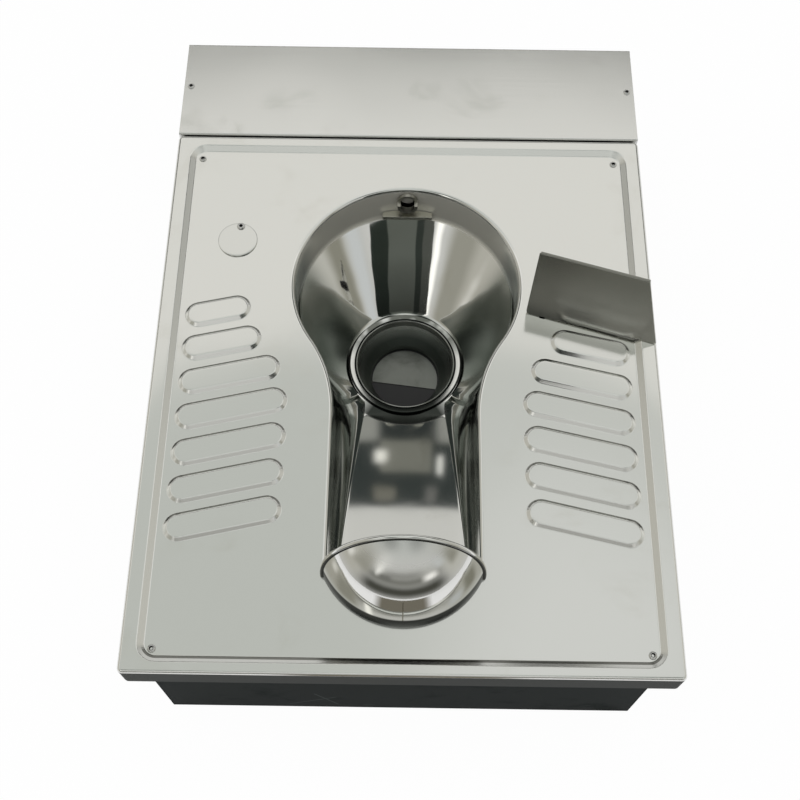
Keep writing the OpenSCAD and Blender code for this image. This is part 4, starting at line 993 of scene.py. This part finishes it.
def spinProfile(name, profile, centre, steps, closed=True):
    # turns a profile about an upright axis
    bm = bmesh.new()
    verts = [bm.verts.new(centre + Vector((r * mm, 0, z * mm))) for r, z in profile]
    for a, b in zip(verts, verts[1:]):
        bm.edges.new((a, b))
    if closed:
        bm.edges.new((verts[-1], verts[0]))
    piece = bmeshPiece(name, bm)
    editAll(piece)
    bpy.ops.mesh.spin(steps=steps, angle=tau, center=centre, axis=(0, 0, 1))
    bpy.ops.mesh.select_all(action="SELECT")
    bpy.ops.mesh.remove_doubles(threshold=weldGap)
    closeMesh()
    return piece


def makeCollar():
    seatZ = borderTop - bowlForm["depth"]
    flange, skirt = ([(r, seatZ + z) for r, z in collar[side]] for side in ("flange", "skirt"))
    profile = flange + collar["pipe"] + skirt
    piece = spinProfile("drainRing", profile, place(0, rim["drainY"], 0), collar["steps"])
    smoothSheet(piece, 38)
    keepPiece(piece, "body", "bowl_steel", "drain_collar", finish="drain_steel")


makeCollar()

# rear cover: one sheet folded down at the front and the back
cover = {"front": 622, "rear": 757, "frontLip": 24, "rearLip": 28, "bend": 2.2, "bendSteps": 6,
         "halfWidth": 265, "rows": 24}


def makeCover():
    line = fillet([(cover["front"], borderTop - cover["frontLip"]), (cover["front"], borderTop),
                   (cover["rear"], borderTop), (cover["rear"], borderTop - cover["rearLip"])],
                  cover["bend"], cover["bendSteps"])
    points, faces, count = [], [], len(line)
    for row in range(cover["rows"] + 1):
        x = -cover["halfWidth"] + 2 * cover["halfWidth"] * row / cover["rows"]
        points += [place(x, y, z) for y, z in line]
    for row in range(cover["rows"]):
        for k in range(count - 1):
            a = row * count + k
            faces.append((a, a + count, a + count + 1, a + 1))
    piece = meshPiece("coverSheet", points, faces)
    faceUp(piece)
    thicken(piece, sheet)
    smoothSheet(piece, 50)
    keepPiece(piece, "body", "cover_steel", "rear_cover")


makeCover()

# port cover: a stamped disc with a soft edge, turning on its rivet
portDisc = {"radius": 21.5, "low": 0.3, "thick": 1.5, "edge": 0.6, "steps": 96}


def makePortDisc():
    low = panelZ + portDisc["low"]
    top, r, e = low + portDisc["thick"], portDisc["radius"], portDisc["edge"]
    profile = [(0, low), (r - 0.2, low), (r, low + 0.2), (r, top - e), (r - e * 0.3, top - e * 0.3),
               (r - e, top), (r - 3, top), (0, top)]
    piece = spinProfile("portDisc", profile, place(port["x"], port["y"], 0), portDisc["steps"], closed=False)
    smoothSheet(piece, 40)
    keepPiece(piece, "port_lid", "plain_steel", "port_cover", finish="port_steel")


makePortDisc()

# CAD nodes that keep their own mesh

softEdges = {"width": 0.4, "segments": 2, "angle": 32, "weld": 2e-6, "weight": 60}
ownFinish = {"flush_nozzle": "spout_steel", "spreader_plate": "shelf_steel"}


def dressNode(name, slotName):
    piece = nodes[name]
    finishOf(piece, ownFinish.get(name, slotName))
    for polygon in piece.data.polygons:
        polygon.use_smooth = True
    weld = piece.modifiers.new("weld", "WELD")
    weld.merge_threshold = softEdges["weld"]
    bevel = piece.modifiers.new("bevel", "BEVEL")
    bevel.width = softEdges["width"] * mm
    bevel.segments = softEdges["segments"]
    bevel.limit_method = "ANGLE"
    bevel.angle_limit = radians(softEdges["angle"])
    weighted = piece.modifiers.new("weighted", "WEIGHTED_NORMAL")
    weighted.weight = softEdges["weight"]


replacedNodes = {"deck", "bowl", "splash_hood", "hood_bead", "drain_collar", "rear_cover", "port_cover"}
for part in frame["record"]["subparts"]:
    if part["node"] not in replacedNodes:
        dressNode(part["node"], part["material_slot"])
print("CAD nodes dressed")

# stage

studio = {"floorHalf": 6.0, "floorGap": 0.0005, "floorTone": 0.86, "floorRough": 0.9, "lampSize": 3.0,
          "lampPlace": (-0.8, -0.6, 3.2), "lampTurn": (-10, -14), "lampPower": 30.0, "roomLevel": 0.75,
          "whiteSeen": 0.97, "whiteMirrored": 0.3}


def shinyRays(tree, path):
    return maths(tree, "ADD", path.outputs["Is Glossy Ray"], path.outputs["Is Transmission Ray"], clamp=True)


def makeFloor():
    deselect()
    bpy.ops.mesh.primitive_plane_add(size=2 * studio["floorHalf"],
                                     location=(0, 0, cadBox[0][2] - studio["floorGap"]))
    floor = bpy.context.object
    floor.name = "floor"
    material, tree, shader, vector = newFinish("floorTone")
    tone = (*[studio["floorTone"]] * 3, 1)
    fillInputs(tree, shader, {"Base Color": tone, "Roughness": studio["floorRough"]})
    glow = addNode(tree, "ShaderNodeEmission", {"Strength": 1.0})
    path = addNode(tree, "ShaderNodeLightPath")
    share = maths(tree, "ADD", times(tree, path.outputs["Is Camera Ray"], studio["whiteSeen"]),
                  times(tree, shinyRays(tree, path), studio["whiteMirrored"]), clamp=True)
    both = addNode(tree, "ShaderNodeMixShader", {0: share, 1: shader.outputs[0], 2: glow.outputs[0]})
    output = [n for n in tree.nodes if n.type == "OUTPUT_MATERIAL"][0]
    tree.links.new(both.outputs[0], output.inputs["Surface"])
    floor.data.materials.append(material)


makeFloor()


# what the polished steel mirrors: (azimuth, height), half size, soft edge and colour, in degrees
# azimuth 0 is behind the toilet, 90 its right side and 180 its front
roomPatches = [
    ((0, 37), (62, 9.3), (14, 0.5), (0.024, 0.029, 0.026)),
    ((0, 53.8), (80, 7.3), (30, 0.5), (0.82, 0.815, 0.78)),
    ((0.4, 46.8), (5, 2.4), (1.5, 0.4), (0.61, 0.61, 0.58)),
    ((0.4, 45.1), (5, 1.52), (1.5, 0.12), (0.035, 0.042, 0.040)),
    ((0.4, 42.7), (4.6, 0.75), (0.8, 0.2), (0.29, 0.295, 0.27)),
    ((0.55, 42.9), (1.9, 0.8), (0.4, 0.25), (0.028, 0.033, 0.032)),
    ((0.45, 44.2), (1.7, 0.8), (0.2, 0.1), (0.185, 0.187, 0.16)),
    ((-1.25, 44.2), (0.35, 0.28), (0.3, 0.2), (1.05, 1.04, 0.96)),
    ((2.75, 44.6), (0.22, 0.45), (0.2, 0.2), (0.85, 0.85, 0.80)),
    ((-1.0, 46.0), (0.75, 0.3), (0.3, 0.15), (0.18, 0.175, 0.145)),
    ((2.2, 46.0), (0.35, 0.35), (0.3, 0.15), (0.16, 0.16, 0.15)),
    ((180, 8), (50, 9), (16, 8), (0.065, 0.065, 0.055)),
    ((180, 23), (50, 6), (16, 6), (0.20, 0.20, 0.18)),
    ((180, 45), (44, 6), (14, 6), (0.64, 0.64, 0.62)),
    ((180, 33), (24, 4), (12, 3), (0.26, 0.26, 0.24)),
    ((90, 24), (36, 22), (12, 10), (0.50, 0.495, 0.45)),
    ((270, 24), (38, 22), (12, 10), (0.46, 0.45, 0.40)),
    ((109, 28), (8, 12), (5, 6), (0.26, 0.255, 0.21)),
    ((127, 36), (7, 8), (5, 4), (0.58, 0.60, 0.60)),
    ((237, 32), (12, 14), (6, 6), (0.32, 0.315, 0.27)),
    ((32, 74), (26, 9), (18, 6), (0.74, 0.75, 0.73)),
    ((131, 69), (25, 7.5), (15, 4.5), (0.026, 0.032, 0.027)),
    ((228, 69), (27, 7.5), (15, 4.5), (0.022, 0.029, 0.024)),
    ((213, 40), (3.2, 14), (2.5, 5), (1.25, 1.24, 1.18)),
    ((146, 23), (8, 4), (6, 3), (0.95, 0.94, 0.90)),
    ((204, 26), (8, 4), (4, 3), (0.17, 0.17, 0.155)),
    ((256, 20), (4, 5), (4, 4), (0.80, 0.79, 0.74)),
]
roomBase = {"low": (0.56, 0.56, 0.54), "mid": (0.50, 0.50, 0.47), "high": (0.58, 0.60, 0.57),
            "lowTo": (5.0, 30.0), "highFrom": (40.0, 62.0)}


def makeRoom():
    world = bpy.data.worlds.new("room")
    bpy.context.scene.world = world
    tree = emptyTree(world)
    parts = axes(tree, addNode(tree, "ShaderNodeTexCoord").outputs["Generated"])
    azimuth = maths(tree, "DEGREES", maths(tree, "ARCTAN2", parts["X"], parts["Y"]))
    height = maths(tree, "DEGREES", maths(tree, "ARCSINE", parts["Z"]))
    low, high = ramp(tree, height, *roomBase["lowTo"]), ramp(tree, height, *roomBase["highFrom"])
    color = mixColor(tree, high, mixColor(tree, low, roomBase["low"], roomBase["mid"]), roomBase["high"])
    for middle, half, edge, tone in roomPatches:
        aside = minus(tree, azimuth, middle[0])
        turned = addNode(tree, "ShaderNodeMath", {0: aside, 1: 180, 2: -180}, operation="WRAP").outputs[0]
        windows = []
        for k, offset in enumerate((turned, minus(tree, height, middle[1]))):
            off = maths(tree, "ABSOLUTE", offset)
            windows.append(ramp(tree, off, half[k] + edge[k], half[k] - edge[k], smooth=True))
        color = mixColor(tree, times(tree, *windows), color, tone)
    path = addNode(tree, "ShaderNodeLightPath")
    view, mirrored, light = [
        addNode(tree, "ShaderNodeBackground", {"Color": tone, "Strength": strength}).outputs[0]
        for tone, strength in (((1, 1, 1, 1), 1.0), (color, 1.0), ((1, 1, 1, 1), studio["roomLevel"]))]
    seen = addNode(tree, "ShaderNodeMixShader", {0: shinyRays(tree, path), 1: light, 2: mirrored})
    both = addNode(tree, "ShaderNodeMixShader", {0: path.outputs["Is Camera Ray"], 1: seen.outputs[0], 2: view})
    addNode(tree, "ShaderNodeOutputWorld", {"Surface": both.outputs[0]})


makeRoom()

# dark card over the channel that the bowl's back mirrors, and one in front for the floor there
# only polished faces behind them see them; columns of tone run from x to x
cards = {
    "rearCard": {"y": 250, "x": (-112, 168), "z": (225, 480), "fade": 0.5, "shade": (0.25, 0.39, 0.3),
                 "columns": [(-112, -64, (0.075, 0.08, 0.07)), (-64, -34, (0.030, 0.036, 0.031)),
                             (-34, 84, (0.105, 0.115, 0.10)), (84, 168, (0.022, 0.028, 0.023))]},
    "frontCard": {"y": -150, "x": (-150, 150), "z": (-5, 192), "fade": 60, "shade": (0.0, 0.001, 1.0),
                  "columns": [(-150, 150, (0.17, 0.157, 0.125))]},
}
cardBlend = {"columns": 5, "clearFrom": 0.78, "clearTo": 0.88}


def makeCard(name):
    card = cards[name]
    (left, right), (low, high), fade = card["x"], card["z"], card["fade"]
    corners = [place(x, card["y"], z) for x, z in ((left, low), (right, low), (right, high), (left, high))]
    piece = meshPiece(name, corners, [(3, 2, 1, 0)])
    material = bpy.data.materials.new(name)
    tree = emptyTree(material)
    parts = axes(tree, addNode(tree, "ShaderNodeTexCoord").outputs["Object"])
    color = None
    for start, end, tone in card["columns"]:
        mask = bandMask(tree, parts["X"], start * mm, end * mm, cardBlend["columns"] * mm)
        color = mixColor(tree, mask, color or tone, tone)
    shade = ramp(tree, parts["Z"], *card["shade"])
    glow = addNode(tree, "ShaderNodeEmission", {"Color": color, "Strength": shade})
    clear = addNode(tree, "ShaderNodeBsdfTransparent")
    behind = addNode(tree, "ShaderNodeNewGeometry").outputs["Backfacing"]
    inside = bandMask(tree, parts["X"], (left + fade) * mm, (right - fade) * mm, fade * mm)
    # edge-on it is clear, so that a view from straight above doesn't find it
    slant = addNode(tree, "ShaderNodeLayerWeight", {"Blend": 0.5}).outputs["Facing"]
    edgeOn = ramp(tree, slant, cardBlend["clearFrom"], cardBlend["clearTo"])
    share = maths(tree, "MAXIMUM", maths(tree, "MAXIMUM", behind, edgeOn), minus(tree, 1.0, inside))
    both = addNode(tree, "ShaderNodeMixShader", {0: share, 1: glow.outputs[0], 2: clear.outputs[0]})
    addNode(tree, "ShaderNodeOutputMaterial", {"Surface": both.outputs[0]})
    piece.data.materials.append(material)
    for rays in ("camera", "diffuse", "transmission", "volume_scatter", "shadow"):
        setattr(piece, "visible_" + rays, False)
    return piece.data.polygons[0].normal.y


print("cards face back", makeCard("rearCard") > 0, makeCard("frontCard") > 0)


def makeLamp():
    data = bpy.data.lights.new("softLamp", "AREA")
    data.shape = "SQUARE"
    data.size = studio["lampSize"]
    data.energy = studio["lampPower"]
    lamp = newPiece("softLamp", data)
    lamp.location = studio["lampPlace"]
    lamp.rotation_euler = (*map(radians, studio["lampTurn"]), 0)
    lamp.visible_glossy = False


makeLamp()
print("stage ready")

scene = bpy.context.scene
scene.view_settings.view_transform = "Standard"
bpy.context.view_layer.update()
